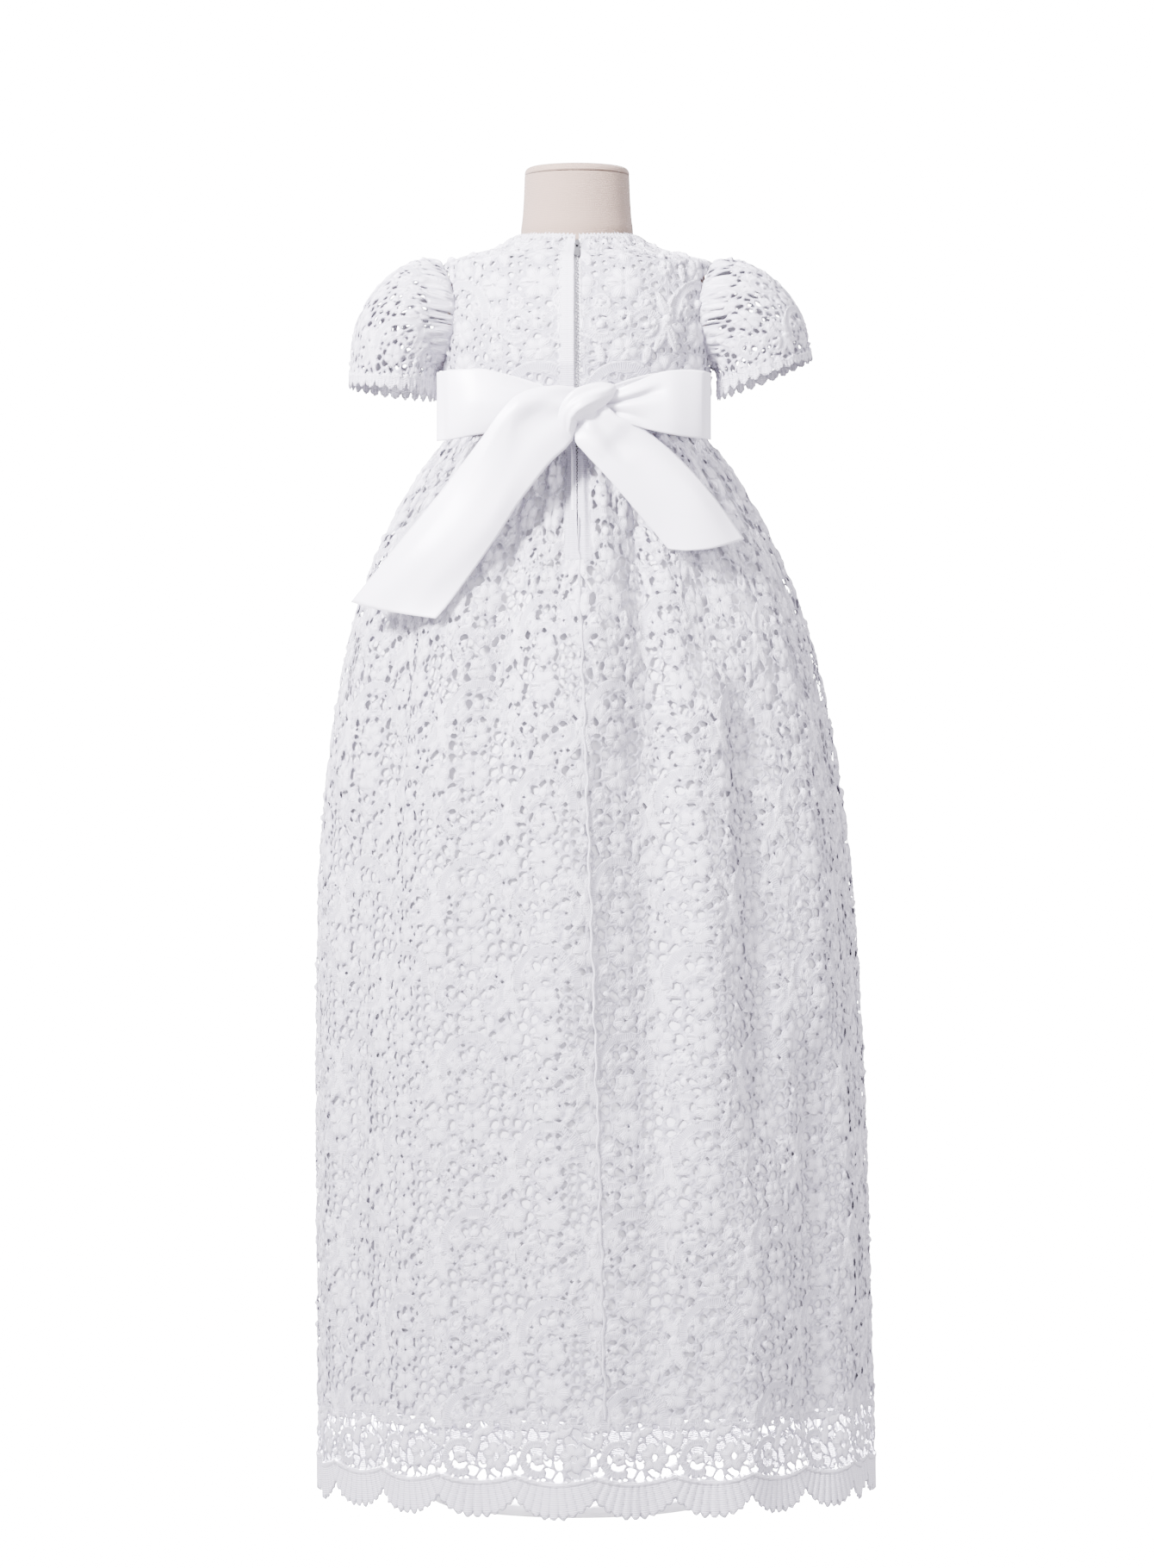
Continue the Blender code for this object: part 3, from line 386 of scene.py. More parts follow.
def between(low, high, value):
    """0 below low, 1 above high, and a smooth step from one to the other."""
    share = np.clip((value - low) / (high - low), 0.0, 1.0)
    return share * share * (3.0 - 2.0 * share)


def through(xs, ys, x):
    """A smooth curve through points: cubic pieces whose slopes never overshoot the points."""
    xs, ys, x = np.asarray(xs, float), np.asarray(ys, float), np.asarray(x, float)
    rest = (1,) * (ys.ndim - 1)
    step = np.diff(xs).reshape(-1, *rest)
    rise = np.diff(ys, axis=0) / step
    before, after = rise[:-1], rise[1:]
    same = before * after > 0
    total = np.where(same, before + after, 1.0)
    bend = np.where(same, 2 * before * after / total, 0.0)
    slope = np.concatenate([rise[:1], bend, rise[-1:]])
    k = np.clip(np.searchsorted(xs, x) - 1, 0, len(xs) - 2)
    t = np.clip((x - xs[k]) / np.diff(xs)[k], 0.0, 1.0).reshape(*x.shape, *rest)
    s = 1.0 - t
    return (ys[k] * (1 + 2 * t) * s**2 + slope[k] * step[k] * t * s**2
            + ys[k + 1] * t**2 * (3 - 2 * t) - slope[k + 1] * step[k] * t**2 * s)


def run_along(points):
    """Length along a line of points, from its first point to each."""
    steps = np.linalg.norm(np.diff(points, axis=0), axis=1)
    return np.concatenate([[0.0], np.cumsum(steps)])


def patch(table, rows, columns):
    """A sheet through a table of points in millimetres: smooth curves down it, then across."""
    points = np.array(table, float) / 1000
    run = run_along(points.mean(axis=1))
    down = through(run, points, np.linspace(0.0, run[-1], rows))
    across = np.linspace(0.0, 1.0, points.shape[1])
    sheet = through(across, np.moveaxis(down, 1, 0), np.linspace(0.0, 1.0, columns))
    return np.moveaxis(sheet, 0, 1), run[-1]


def column(table, names, name):
    """One named column of a table of rows, as an array."""
    return np.array([row[names.index(name)] for row in table], float)


def stacked(*parts):
    """Stacks coordinates into points or flat places, each first spread over the whole grid."""
    return np.stack(np.broadcast_arrays(*parts), axis=-1)


def raised(surface, u, v, height, step=0.0006):
    """Points of a surface moved out along its normal, which is the cross of its two slopes."""
    across = surface(u + step, v) - surface(u - step, v)
    up = surface(u, v + step) - surface(u, v - step)
    normal = np.cross(across, up)
    normal = normal / np.maximum(np.linalg.norm(normal, axis=-1, keepdims=True), 1e-12)
    return surface(u, v) + normal * np.asarray(height)[..., None]


# Meshes

def add_piece(name, points, faces, material, replaced=(), flat=None, values=None,
              period=0.0):
    """Puts arrays of points and faces into a mesh, with its flat UV map and its attributes.
    A closed grid gives its width as a period, so that the map runs on over its last column."""
    mesh = bpy.data.meshes.new(name)
    mesh.from_pydata(points.reshape(-1, 3), [], faces)
    mesh.polygons.foreach_set("use_smooth", np.ones(len(mesh.polygons), bool))
    if flat is not None:
        corner = np.empty(len(mesh.loops), np.int32)
        mesh.loops.foreach_get("vertex_index", corner)
        place = flat.reshape(-1, 2)[corner]
        if period:
            across = place[:, 0].reshape(-1, 4)
            behind = across.max(axis=1, keepdims=True) - across > period / 2
            place[:, 0] = (across + period * behind).ravel()
        layer = mesh.uv_layers.new(name="flat")
        layer.data.foreach_set("uv", place.ravel())
    for key, value in (values or {}).items():
        layer = mesh.attributes.new(key, "FLOAT", "POINT")
        layer.data.foreach_set("value", value.ravel().astype(np.float32))
    mesh.materials.append(material)
    piece = bpy.data.objects.new(name, mesh)
    bpy.context.scene.collection.objects.link(piece)
    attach(piece, BODY)
    if replaced:
        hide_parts(*replaced)
    return piece


def grid_faces(rows, columns, closed=False):
    """Quads of a grid of points, the last column joined to the first if it's closed."""
    row = np.arange(rows - 1)[:, None] * columns
    span = np.arange(columns if closed else columns - 1)[None, :]
    after = (span + 1) % columns
    quads = np.stack([row + span, row + after, row + columns + after, row + columns + span],
                     axis=-1)
    return quads.reshape(-1, 4)


def surface_piece(name, surface, u_range, v_range, counts, material, replaced,
                  closed=False, thickness=0.0):
    """A plain sheet: an even grid over a surface of two parameters, in metres. The counts are
    of its columns and rows."""
    columns, rows = counts
    u, v = np.meshgrid(np.linspace(*u_range, columns, endpoint=not closed),
                       np.linspace(*v_range, rows))
    period = u_range[1] - u_range[0] if closed else 0.0
    piece = add_piece(name, surface(u, v), grid_faces(rows, columns, closed), material,
                      replaced, stacked(u, v), period=period)
    if thickness:
        thicken(piece, thickness)
    return piece


def thicken(piece, thickness, offset=-1.0):
    """Gives a sheet its thickness: inwards at an offset of -1, both ways at 0."""
    wall = piece.modifiers.new("thickness", "SOLIDIFY")
    wall.thickness = thickness
    wall.offset = offset


def lathe(name, outline, centre_y, depth_ratio, material, replaced, sides=96):
    """An outline of (radius, height) rows turned round an upright axis."""
    radius, z = np.array(outline).T[..., None]
    angle = np.linspace(0.0, TURN, sides, endpoint=False)[None, :]
    points = stacked(radius * np.sin(angle), centre_y - depth_ratio * radius * np.cos(angle), z)
    flat = stacked(angle * radius.max(), z)
    return add_piece(name, points, grid_faces(len(outline), sides, True), material,
                     replaced, flat, period=TURN * radius.max())


# Lace patterns, in millimetres of flat cloth. A pattern is four arrays: how far inside any thread
# work a point lies, how far inside its topmost motif, its relief, and its run along the stitches.
# A row of arches starts at this height above the floor.
LACE_START = 554.0


def blank_lace(u):
    """Cloth with nothing on it yet."""
    return {"cover": np.full(u.shape, -9.0), "edge": np.full(u.shape, -9.0),
            "relief": np.zeros(u.shape), "stitch": np.zeros(u.shape)}


def lay(cloth, motif):
    """Lays a motif over the lace: it covers what is under it, and widens the thread work."""
    inside, relief, stitch = motif
    top = inside > 0.0
    cloth["cover"] = np.maximum(cloth["cover"], inside)
    cloth["edge"] = np.where(top, inside, np.maximum(cloth["edge"], inside))
    cloth["relief"] = np.where(top, relief, cloth["relief"])
    cloth["stitch"] = np.where(top, stitch, cloth["stitch"])


def trim(cloth, *limits):
    """Cuts a pattern off at lines, each given as the distance inside it."""
    for limit in limits:
        for key in ("cover", "edge"):
            cloth[key] = np.minimum(cloth[key], limit)


def offset_from(value, centre, period):
    """Distance from the nearest repeat of a centre."""
    return (value - centre + period / 2) % period - period / 2


def flower(x, y, radius, petals, turn, eye):
    """Petals as lobes of a polar curve round an open eye, each swelling to its middle."""
    r = np.hypot(x, y)
    theta = np.arctan2(y, x) + turn
    lobe = np.abs(np.cos(petals * theta / 2))
    rim = radius * (0.72 + 0.28 * lobe**0.6)
    inside = np.minimum((rim - r) * 0.9, r - eye)
    share = np.clip(r / rim, 0.0, 1.0)
    relief = 0.35 + 1.1 * lobe**0.5 * np.sin(math.pi * share) + 0.5 * np.exp(-((r - eye - 1) ** 2))
    return inside, relief, theta * radius * 0.7


def leaf(x, y, angle, length, width):
    """A padded leaf: its half width is a rounded sine along it, with a groove down its middle."""
    along = x * math.cos(angle) + y * math.sin(angle)
    across = np.abs(y * math.cos(angle) - x * math.sin(angle))
    share = np.clip(along / length, 0.0, 1.0)
    half = width / 2 * np.sin(math.pi * share**0.8) ** 0.62
    beyond = np.maximum(-along, 0.0) + np.maximum(along - length, 0.0)
    inside = half - across - beyond
    dome = np.sqrt(np.clip(1.0 - (across / np.maximum(half, 0.1)) ** 2, 0.0, 1.0))
    relief = 0.3 + 1.3 * dome - 0.7 * np.exp(-((across / 0.6) ** 2))
    return inside, relief, along + 0.8 * across


def arc(x, y, radius, half, start, sweep):
    """A ladder tape on an arc, between two raised cords; angles in degrees."""
    r = np.hypot(x, y)
    past = (np.degrees(np.arctan2(y, x)) - start) % 360.0
    gap = np.where(past > sweep, np.minimum(past - sweep, 360.0 - past), 0.0)
    off = np.abs(r - radius)
    inside = half - off - np.radians(gap) * radius
    relief = 0.45 + 0.75 * np.exp(-(((half - off - 0.7) / 0.6) ** 2))
    return inside, relief, np.radians(past) * radius


def ball(x, y, radius):
    """A padded dot, a half sphere."""
    r = np.hypot(x, y)
    dome = np.sqrt(np.clip(1.0 - (r / radius) ** 2, 0.0, 1.0))
    return radius - r, 0.4 + 2.0 * dome, r


def brides(u, v, tile, cell, width, seed):
    """Thin bars along the borders between scattered seeds, which repeat with the tile."""
    columns, rows = round(tile[0] / cell), round(tile[1] / cell)
    scatter = np.random.default_rng(seed)
    nearest = np.full(u.shape, 1e6)
    second = np.full(u.shape, 1e6)
    for i in range(columns):
        for j in range(rows):
            shift = scatter.uniform(-0.33, 0.33, 2)
            x = offset_from(u, (i + 0.5 + shift[0]) * tile[0] / columns, tile[0])
            y = offset_from(v, (j + 0.5 + shift[1] + 0.5 * (i % 2)) * tile[1] / rows, tile[1])
            distance = np.hypot(x, y)
            second = np.minimum(second, np.maximum(nearest, distance))
            nearest = np.minimum(nearest, distance)
    inside = (width - (second - nearest)) / 2
    return inside, 0.25, nearest * 1.2


# Motifs of the main lace: kind, centre in the repeat, then the motif's own sizes
MAIN_MOTIFS = [
    ("flower", 30, -9, 11.0, 5, 0.3, 1.2), ("flower", 30, -35, 13.0, 6, 0.0, 1.3),
    ("flower", 0, -37, 11.5, 5, 0.9, 1.1), ("flower", 0, -60, 9.5, 5, 0.2, 1.0),
    ("flower", 30, -62, 7.5, 5, 0.6, 1.3), ("flower", 30, -84, 10.0, 5, 1.5, 1.1),
    ("arc", 15, -50, 4.4, 1.7, 0, 360), ("arc", 45, -49, 4.4, 1.7, 0, 360),
    ("flower", 15, 10, 7.5, 5, 0.1, 1.3), ("flower", 46, 11, 7.0, 5, 0.8, 1.3),
    ("leaf", 0, -1, -158, 17, 7.6), ("leaf", 0, -1, -22, 17, 7.6), ("leaf", 0, -3, -114, 22, 8.0),
    ("leaf", 0, -3, -66, 22, 8.0), ("leaf", 0, 3, 66, 18, 7.0), ("leaf", 0, 3, 114, 18, 7.0),
    ("leaf", 14, -80, 112, 15, 6.4), ("leaf", 46, -80, 68, 15, 6.4),
    ("leaf", 13, -81, -75, 13, 6.0), ("leaf", 47, -81, -105, 13, 6.0),
    ("arc", 15, -66, 9.6, 3.0, 20, 290), ("arc", 45, -66, 9.6, 3.0, -130, 290),
    ("arc", 30, 4, 23.0, 3.8, -10, 200), ("arc", 30, -5, 13.0, 2.4, 20, 140),
    ("flower", 0, -84, 6.5, 5, 0.5, 1.2), ("ball", 30, 13, 3.2), ("ball", 15, -50, 2.2),
    ("ball", 45, -49, 2.2), ("ball", 15, -66, 2.8), ("ball", 45, -66, 2.8), ("ball", 0, 0, 3.6),
    ("ball", 0, -74, 2.4),
]

# Motifs of the border, above its corded line
BORDER_MOTIFS = [
    ("arc", 17, 42, 10.8, 2.8, 15, 285), ("flower", 45, 43, 10.8, 6, 0.2, 2.4),
    ("flower", 18, 42, 5.0, 5, 0.7, 1.0), ("leaf", 31, 57, -112, 15, 6.4),
    ("leaf", 31, 58, 20, 14, 6.4), ("ball", 0, 36, 3.0), ("ball", 31, 58, 3.0),
    ("leaf", 2, 48, 82, 15, 6.4), ("leaf", 1, 51, 150, 13, 6.0),
]


def lay_motifs(cloth, motifs, u, v, tile, drop=0.0):
    """Lays each motif of a list on every repeat of the tile. Each column of repeats starts a
    drop higher than the one before it."""
    for kind, centre_u, centre_v, *sizes in motifs:
        repeat = np.round((u - centre_u) / tile[0])
        x = u - centre_u - repeat * tile[0]
        y = offset_from(v - repeat * drop, centre_v, tile[1])
        if kind == "flower":
            lay(cloth, flower(x, y, *sizes))
        elif kind == "leaf":
            lay(cloth, leaf(x, y, math.radians(sizes[0]), *sizes[1:]))
        elif kind == "arc":
            lay(cloth, arc(x, y, *sizes))
        else:
            lay(cloth, ball(x, y, *sizes))


def main_lace(u, v, cell, bar):
    """The all-over lace: ladder arches, leaf sprays, eyed flowers, rings and bars."""
    settings = bpy.context.scene.gown_lace
    tile = (settings.repeat_width * 1000, settings.repeat_height * 1000)
    cloth = blank_lace(u)
    lay(cloth, brides(u, v, tile, cell, bar, 5))
    lay_motifs(cloth, MAIN_MOTIFS, u, v, tile, tile[1] / 2)
    return cloth


def fan(u, v, width, top, depth, valley, ribs):
    """A scallop: ribs that spread from a point above it, under a corded line that sags."""
    sag, cord_half_width = 5.0, 1.7
    spring, lift = depth * 1.9, top * 0.35
    x = offset_from(u, width / 2, width)
    share = np.abs(x) / (width / 2)
    line = top - sag * (1.0 - share**2)
    angle = np.arctan2(x, spring - v + lift)
    widest = math.atan2(width / 2, spring + lift - valley)
    lobe = np.abs(np.cos(math.pi * ribs * angle / (2 * widest)))
    bottom = valley * share**2.4 + 3.0 * (1.0 - lobe**0.7)
    body = np.minimum(v - bottom, line - v + 0.5), 0.1 + 1.5 * lobe**0.6, line - v
    off = np.abs(v - line)
    dome = np.sqrt(np.clip(1.0 - (off / cord_half_width) ** 2, 0.0, 1.0))
    cord = cord_half_width - off, 0.5 + 1.7 * dome, x
    return body, cord, line


def border_lace(u, v):
    """The open border: v is the height above the hem's lowest point. Its top runs on into the
    lace above it."""
    tile = (bpy.context.scene.gown_lace.repeat_width * 1000, 1000.0)
    cloth = blank_lace(u)
    body, cord, line = fan(u, v, tile[0], 30.0, 30.0, 13.0, 9)
    bars = brides(u, v, (tile[0], 68.0), 9.6, 1.5, 11)
    above = main_lace(u, v + HEM_Z * 1000 - LACE_START, 8.8, 2.4)
    lay(cloth, (np.minimum(bars[0], v - line), bars[1], bars[2]))
    lay(cloth, (np.minimum(above["cover"], v - 61.0), above["relief"], above["stitch"]))
    lay_motifs(cloth, BORDER_MOTIFS, u, v, tile)
    lay(cloth, body)
    lay(cloth, cord)
    return cloth


def drawn_in(u, v, cover, size):
    """Draws the grid points near an edge of the thread work to it, against the pattern's slope,
    and says which points are kept. The borders of the grid stay where they are."""
    slope_v, slope_u = np.gradient(cover, size)
    steep = np.maximum(np.hypot(slope_u, slope_v), 0.3)
    near = np.abs(cover) < 0.62 * size * steep
    pull = np.where(near, np.clip(cover / steep**2, -0.6 * size, 0.6 * size), 0.0) / 1000
    move_u, move_v = -pull * slope_u, -pull * slope_v
    move_u[:, [0, -1]] = 0.0
    move_v[[0, -1], :] = 0.0
    return u + move_u, v + move_v, (cover > 0.0) | near


def kept_faces(quads, kept):
    """The quads whose four corners are kept, a triangle where three are, and which points they
    use. The faces are numbered by those points alone."""
    count = kept[quads].sum(axis=1)
    whole = quads[count == 4]
    part = quads[count == 3]
    order = (np.argmin(kept[part], axis=1)[:, None] + np.array([1, 2, 3])) % 4
    corners = np.take_along_axis(part, order, axis=1)
    used = np.zeros(len(kept), bool)
    used[whole.ravel()] = True
    used[corners.ravel()] = True
    index = np.cumsum(used) - 1
    return index[whole].tolist() + index[corners].tolist(), used


def lace_sheet(name, surface, pattern, u_range, v_range, step, material, replaced,
               relief_scale=1.0, thickness=0.0):
    """Lace on a surface: a grid over the flat cloth, its points drawn to the edges of the thread
    work, and its faces kept only where the pattern covers them. Ranges are in metres."""
    columns = round((u_range[1] - u_range[0]) / step) + 1
    rows = round((v_range[1] - v_range[0]) / step) + 1
    u, v = np.meshgrid(np.linspace(*u_range, columns), np.linspace(*v_range, rows))
    cover = pattern(u * 1000, v * 1000)["cover"]
    u, v, kept = drawn_in(u, v, cover, step * 1000)
    cloth = pattern(u * 1000, v * 1000)
    relief = cloth["relief"] * 0.001 * bpy.context.scene.gown_lace.relief * relief_scale
    points = raised(surface, u, v, relief)
    faces, used = kept_faces(grid_faces(rows, columns), kept.ravel())
    flat = stacked(u, v).reshape(-1, 2)[used]
    values = {key: cloth[key].ravel()[used] for key in ("edge", "relief", "stitch")}
    piece = add_piece(name, points.reshape(-1, 3)[used], faces, material,
                      replaced, flat, values)
    if thickness:
        thicken(piece, thickness)
    return piece


# Surfaces of the gown: two parameters in metres of flat cloth give a point

def skirt_half_width(z):
    """The skirt's half width over its folds, an exponential flare below the waist."""
    return HEM_HALF_WIDTH - FLARE_AT_WAIST * np.exp(-(WAIST_Z - z) / FLARE_LENGTH)


def skirt_half_depth(z):
    """The skirt's half depth over its folds."""
    rounder = (DEPTH_RATIO_AT_WAIST - DEPTH_RATIO) * between(WAIST_Z - 0.08, WAIST_Z, z)
    return skirt_half_width(z) * (DEPTH_RATIO + rounder)


def main_folds(angle, z):
    """How far in the cloth lies at its broad and its named folds."""
    settled = between(WAIST_Z, WAIST_Z - 0.25, z)
    depth = BROAD_FOLD_DEPTH * settled * (0.5 - 0.5 * np.cos(BROAD_FOLDS * angle + 0.6))
    for row in FOLDS:
        fold = dict(zip(FOLD_COLUMNS, row))
        share = np.clip((fold["z_top"] - z) / (fold["z_top"] - fold["z_bottom"]), 0.0, 1.0)
        centre = fold["angle_top"] + (fold["angle_bottom"] - fold["angle_top"]) * share
        away = (np.degrees(angle) - centre + 180.0) % 360.0 - 180.0
        valley = np.exp(-((away / fold["half_width"]) ** 2) / 2)
        fade = between(0.0, 0.14, share) * between(1.0, 0.72, share)
        depth = depth + FOLD_SHARE * fold["depth"] * valley * fade
    return depth


def gather_depth(z):
    """Depth of the gathers: fixed by the seam, fullest just below it, and gone further down."""
    fade = between(WAIST_Z - GATHER_FADE, WAIST_Z - 0.02, z)
    seam = between(WAIST_Z - 0.03, WAIST_Z, z)
    return (GATHER_BELOW + (GATHER_AT_SEAM - GATHER_BELOW) * seam) * fade


def skirt_point(angle, z, inset):
    """A point of the skirt, a distance in from its outer size."""
    sway = HEM_SWAY * between(WAIST_Z, HEM_Z, z)
    x = sway + (skirt_half_width(z) - inset) * np.sin(angle)
    y = -(skirt_half_depth(z) - inset) * np.cos(angle)
    side = np.where(np.sin(angle / 2) >= 0, 1.0, -1.0) * np.sign(np.cos(angle / 2) + 1e-9)
    opening = ZIP_OPENING / 2 * between(ZIP_END_Z - 0.03, ZIP_END_Z, z)
    opening = opening * (0.3 + 0.7 * between(WAIST_Z - 0.02, WAIST_Z, z))
    near_zip = np.exp(-np.abs((angle + math.pi) % TURN - math.pi) / 0.12)
    return stacked(x + side * opening * near_zip, y, z)


def cloth_per_turn():
    """Flat width of the skirt's lace all round."""
    return LACE_REPEATS * bpy.context.scene.gown_lace.repeat_width


def skirt_surface(u, z):
    """The lace skirt: gathers are a cosine round the waist with sharpened valleys and finer ones
    between, which fade into small uneven ripples."""
    angle = u / cloth_per_turn() * TURN
    drift = 0.9 * np.sin(7 * angle) * (WAIST_Z - z) * 6
    wave = (0.5 - 0.5 * np.cos(GATHERS * angle + drift)) ** 1.5
    fine = 0.0011 * (0.5 + 0.5 * np.sin(103 * angle + 3 * np.sin(9 * angle)))
    fine = fine * between(WAIST_Z - 0.16, WAIST_Z - 0.03, z)
    ripple = np.sin(31 * angle + 2.0 * np.sin(5 * angle + z * 9)) * np.sin(3 * angle + 6 * z)
    small = 0.0011 * ripple * between(WAIST_Z, WAIST_Z - 0.1, z)
    inset = main_folds(angle, z) + gather_depth(z) * wave + fine + 0.0005 + small
    return skirt_point(angle, z, inset)


def lining_surface(u, z):
    """The lining, which lies inside the lace's folds and stands clear of its gathers."""
    angle = u / cloth_per_turn() * TURN
    clear = 0.0030 * between(0.44, 0.60, z) * between(WAIST_Z, WAIST_Z - 0.06, z)
    inset = main_folds(angle, z) + gather_depth(z) + 0.0020 + clear
    return skirt_point(angle, z, inset)


def body_size(z):
    """Half width, half depth and forward shift of the bodice at a height."""
    heights = BODY_SECTIONS["z"]
    return tuple(
        through(heights, BODY_SECTIONS[name], np.clip(z, heights[0], heights[-1]))
        for name in ("half_width", "half_depth", "forward")
    )


def shoulder_length():
    """Height of the bodice against the length of its surface up from the waist, as two lists."""
    z = np.linspace(BODY_SECTIONS["z"][0], BODY_SECTIONS["z"][-1], 400)
    half_width, half_depth, _ = body_size(z)
    run = np.diff(0.6 * half_width + 0.4 * half_depth)
    return z, np.concatenate([[0.0], np.cumsum(np.hypot(np.diff(z), run))])


BODICE_Z, BODICE_LENGTH = shoulder_length()
BODICE_RADIUS = 0.085


def body_surface(u, v):
    """The bodice: u is the width round from the centre back, v the length up from the waist."""
    angle = u / BODICE_RADIUS
    z = np.interp(v, BODICE_LENGTH, BODICE_Z)
    half_width, half_depth, forward = body_size(z)
    return stacked(half_width * np.sin(angle), forward - half_depth * np.cos(angle), z)


def armhole_angle(z):
    """How far round the armhole's back and front edges are at a height."""
    middle = (UNDERARM_Z + SHOULDER_Z) / 2
    half_height = (SHOULDER_Z - UNDERARM_Z) / 2
    _, half_depth, forward = body_size(z)
    reach = ARMHOLE_HALF_DEPTH * np.sqrt(np.clip(1.0 - ((z - middle) / half_height) ** 2, 0, 1))
    back = (reach - ARMHOLE_FORWARD + forward) / half_depth
    front = (reach + ARMHOLE_FORWARD - forward) / half_depth
    quarter = math.pi / 2
    return (np.where(reach > 0, np.arccos(np.clip(back, 0, 1)), quarter),
            np.where(reach > 0, np.arccos(np.clip(front, 0, 1)), quarter))


def neck_height(angle):
    """Height of the neckline round the body: it dips at the front."""
    from_back = np.abs((angle + math.pi) % TURN - math.pi)
    back = BACK_NECK_Z + (SIDE_NECK_Z - BACK_NECK_Z) * np.sin(np.minimum(from_back, math.pi / 2))
    rest = math.pi - from_back
    front = FRONT_NECK_Z + (SIDE_NECK_Z - FRONT_NECK_Z) * np.sin(np.clip(rest, 0, math.pi / 2))
    return np.where(from_back < math.pi / 2, back, front)


def bodice_cut(u, v):
    """Distance in millimetres inside a bodice panel's neckline and armholes."""
    angle = u / 1000 / BODICE_RADIUS
    z = np.interp(v / 1000, BODICE_LENGTH, BODICE_Z)
    neck = np.interp(neck_height(angle), BODICE_Z, BODICE_LENGTH) * 1000
    picot = 2.6 * np.abs(np.sin(math.pi * u / 5.0)) * (0.8 + 0.2 * np.sin(u))
    back, front = armhole_angle(z)
    from_back = np.abs((angle + math.pi) % TURN - math.pi)
    edge = np.where(from_back < math.pi / 2, back - from_back, front - (math.pi - from_back))
    return neck + picot - 1.6 - v, edge * BODICE_RADIUS * 1000 + 0.4


def bodice_lace(u, v):
    """Lace for the bodice: denser than the skirt's, cut to its panels, corded round the neck,
    with a smooth facing on the left of the zip. The sash presses it flat."""
    cloth = main_lace(u, v - 20.0, 7.0, 3.2)
    to_neck, to_armhole = bodice_cut(u, v)
    turn = TURN * BODICE_RADIUS * 1000
    lay(cloth, (3.0 - u, 0.8, v))
    from_zip = turn - u
    lay(cloth, (11.5 - from_zip + 0.5 * np.sin(v * 0.9), 1.1 + 0.12 * np.cos(from_zip * 1.6), v))
    lay(cloth, (2.4 - np.abs(to_neck - 1.8), 0.9, u))
    trim(cloth, to_neck, to_armhole)
    cloth["relief"] = cloth["relief"] * (0.55 + 0.45 * between(44.0, 50.0, v))
    return cloth


def skirt_lace(u, v):
    """Lace for the skirt: more open above, and plain where the seam allowances lie under the
    bow's knot."""
    bar = 1.5 + 0.9 * between(640.0, 420.0, v)
    cloth = main_lace(u, v - LACE_START, 8.8, bar)
    aside = np.abs(offset_from(u, 0.0, cloth_per_turn() * 1000))
    lay(cloth, (np.minimum(15.0 - aside, v - 668.0), 0.4 + 0.1 * np.cos(aside), v))
    return cloth


def sleeve_surface(side):
    """The puff sleeve: rings that are ovals through an outer and an inner edge, pinched by
    gathers at the head and the cuff. The cloth's length v runs up from the cuff, and its width
    u round from the shoulder to the back."""
    share = np.concatenate([[0.0], column(SLEEVE_RINGS, SLEEVE_COLUMNS, "share")])
    start = (SLEEVE_START_X, SHOULDER_Z, SLEEVE_START_X, UNDERARM_Z, ARMHOLE_HALF_DEPTH)
    rings = {name: np.concatenate([[first], column(SLEEVE_RINGS, SLEEVE_COLUMNS, name)])
             for name, first in zip(SLEEVE_COLUMNS, start)}
    if side > 0:
        rings["outer_x"] = rings["outer_x"] + RIGHT_CUFF_FLARE * share**2
        rings["outer_z"] = rings["outer_z"] + RIGHT_CUFF_LIFT * share**2

    def surface(u, v):
        angle = -side * u / SLEEVE_WIDTH * TURN
        t = np.clip(1.0 - v / sleeve_length(u), 0.0, 1.0)
        ring = {name: through(share, values, t) for name, values in rings.items()}
        reach = 0.5 + 0.5 * np.cos(angle)
        x = ring["inner_x"] + (ring["outer_x"] - ring["inner_x"]) * reach
        z = ring["inner_z"] + (ring["outer_z"] - ring["inner_z"]) * reach
        y = -ring["half_depth"] * np.sin(angle)
        head = between(0.45, 0.0, t)
        wave = 0.5 - 0.5 * np.cos(SLEEVE_GATHERS * angle + 1.5 * np.sin(3 * angle))
        pinch = 1.0 - (0.05 * wave * head + 0.016 * wave * between(0.3, 0.9, t))
        middle_x = (ring["inner_x"] + ring["outer_x"]) / 2
        middle_z = (ring["inner_z"] + ring["outer_z"]) / 2
        off = (y - SLEEVE_WALL_FORWARD) / SLEEVE_WALL_HALF_DEPTH
        wall = SLEEVE_WALL_HALF_WIDTH * np.sqrt(np.clip(1.0 - off**2, 0.0, 1.0))
        x = middle_x + (x - middle_x) * pinch
        seated = between(0.10, 0.0, t)
        x = x + (wall - x) * seated
        y = ARMHOLE_FORWARD * seated + y * pinch
        z = middle_z + (z - middle_z) * pinch
        return stacked(side * x, y, z)

    return surface


def sleeve_length(u):
    """Length of the sleeve's cloth from cuff to armhole: longest over the shoulder."""
    over = 0.5 + 0.5 * np.cos(u / SLEEVE_WIDTH * TURN)
    return SLEEVE_UNDER + (SLEEVE_OVER - SLEEVE_UNDER) * over


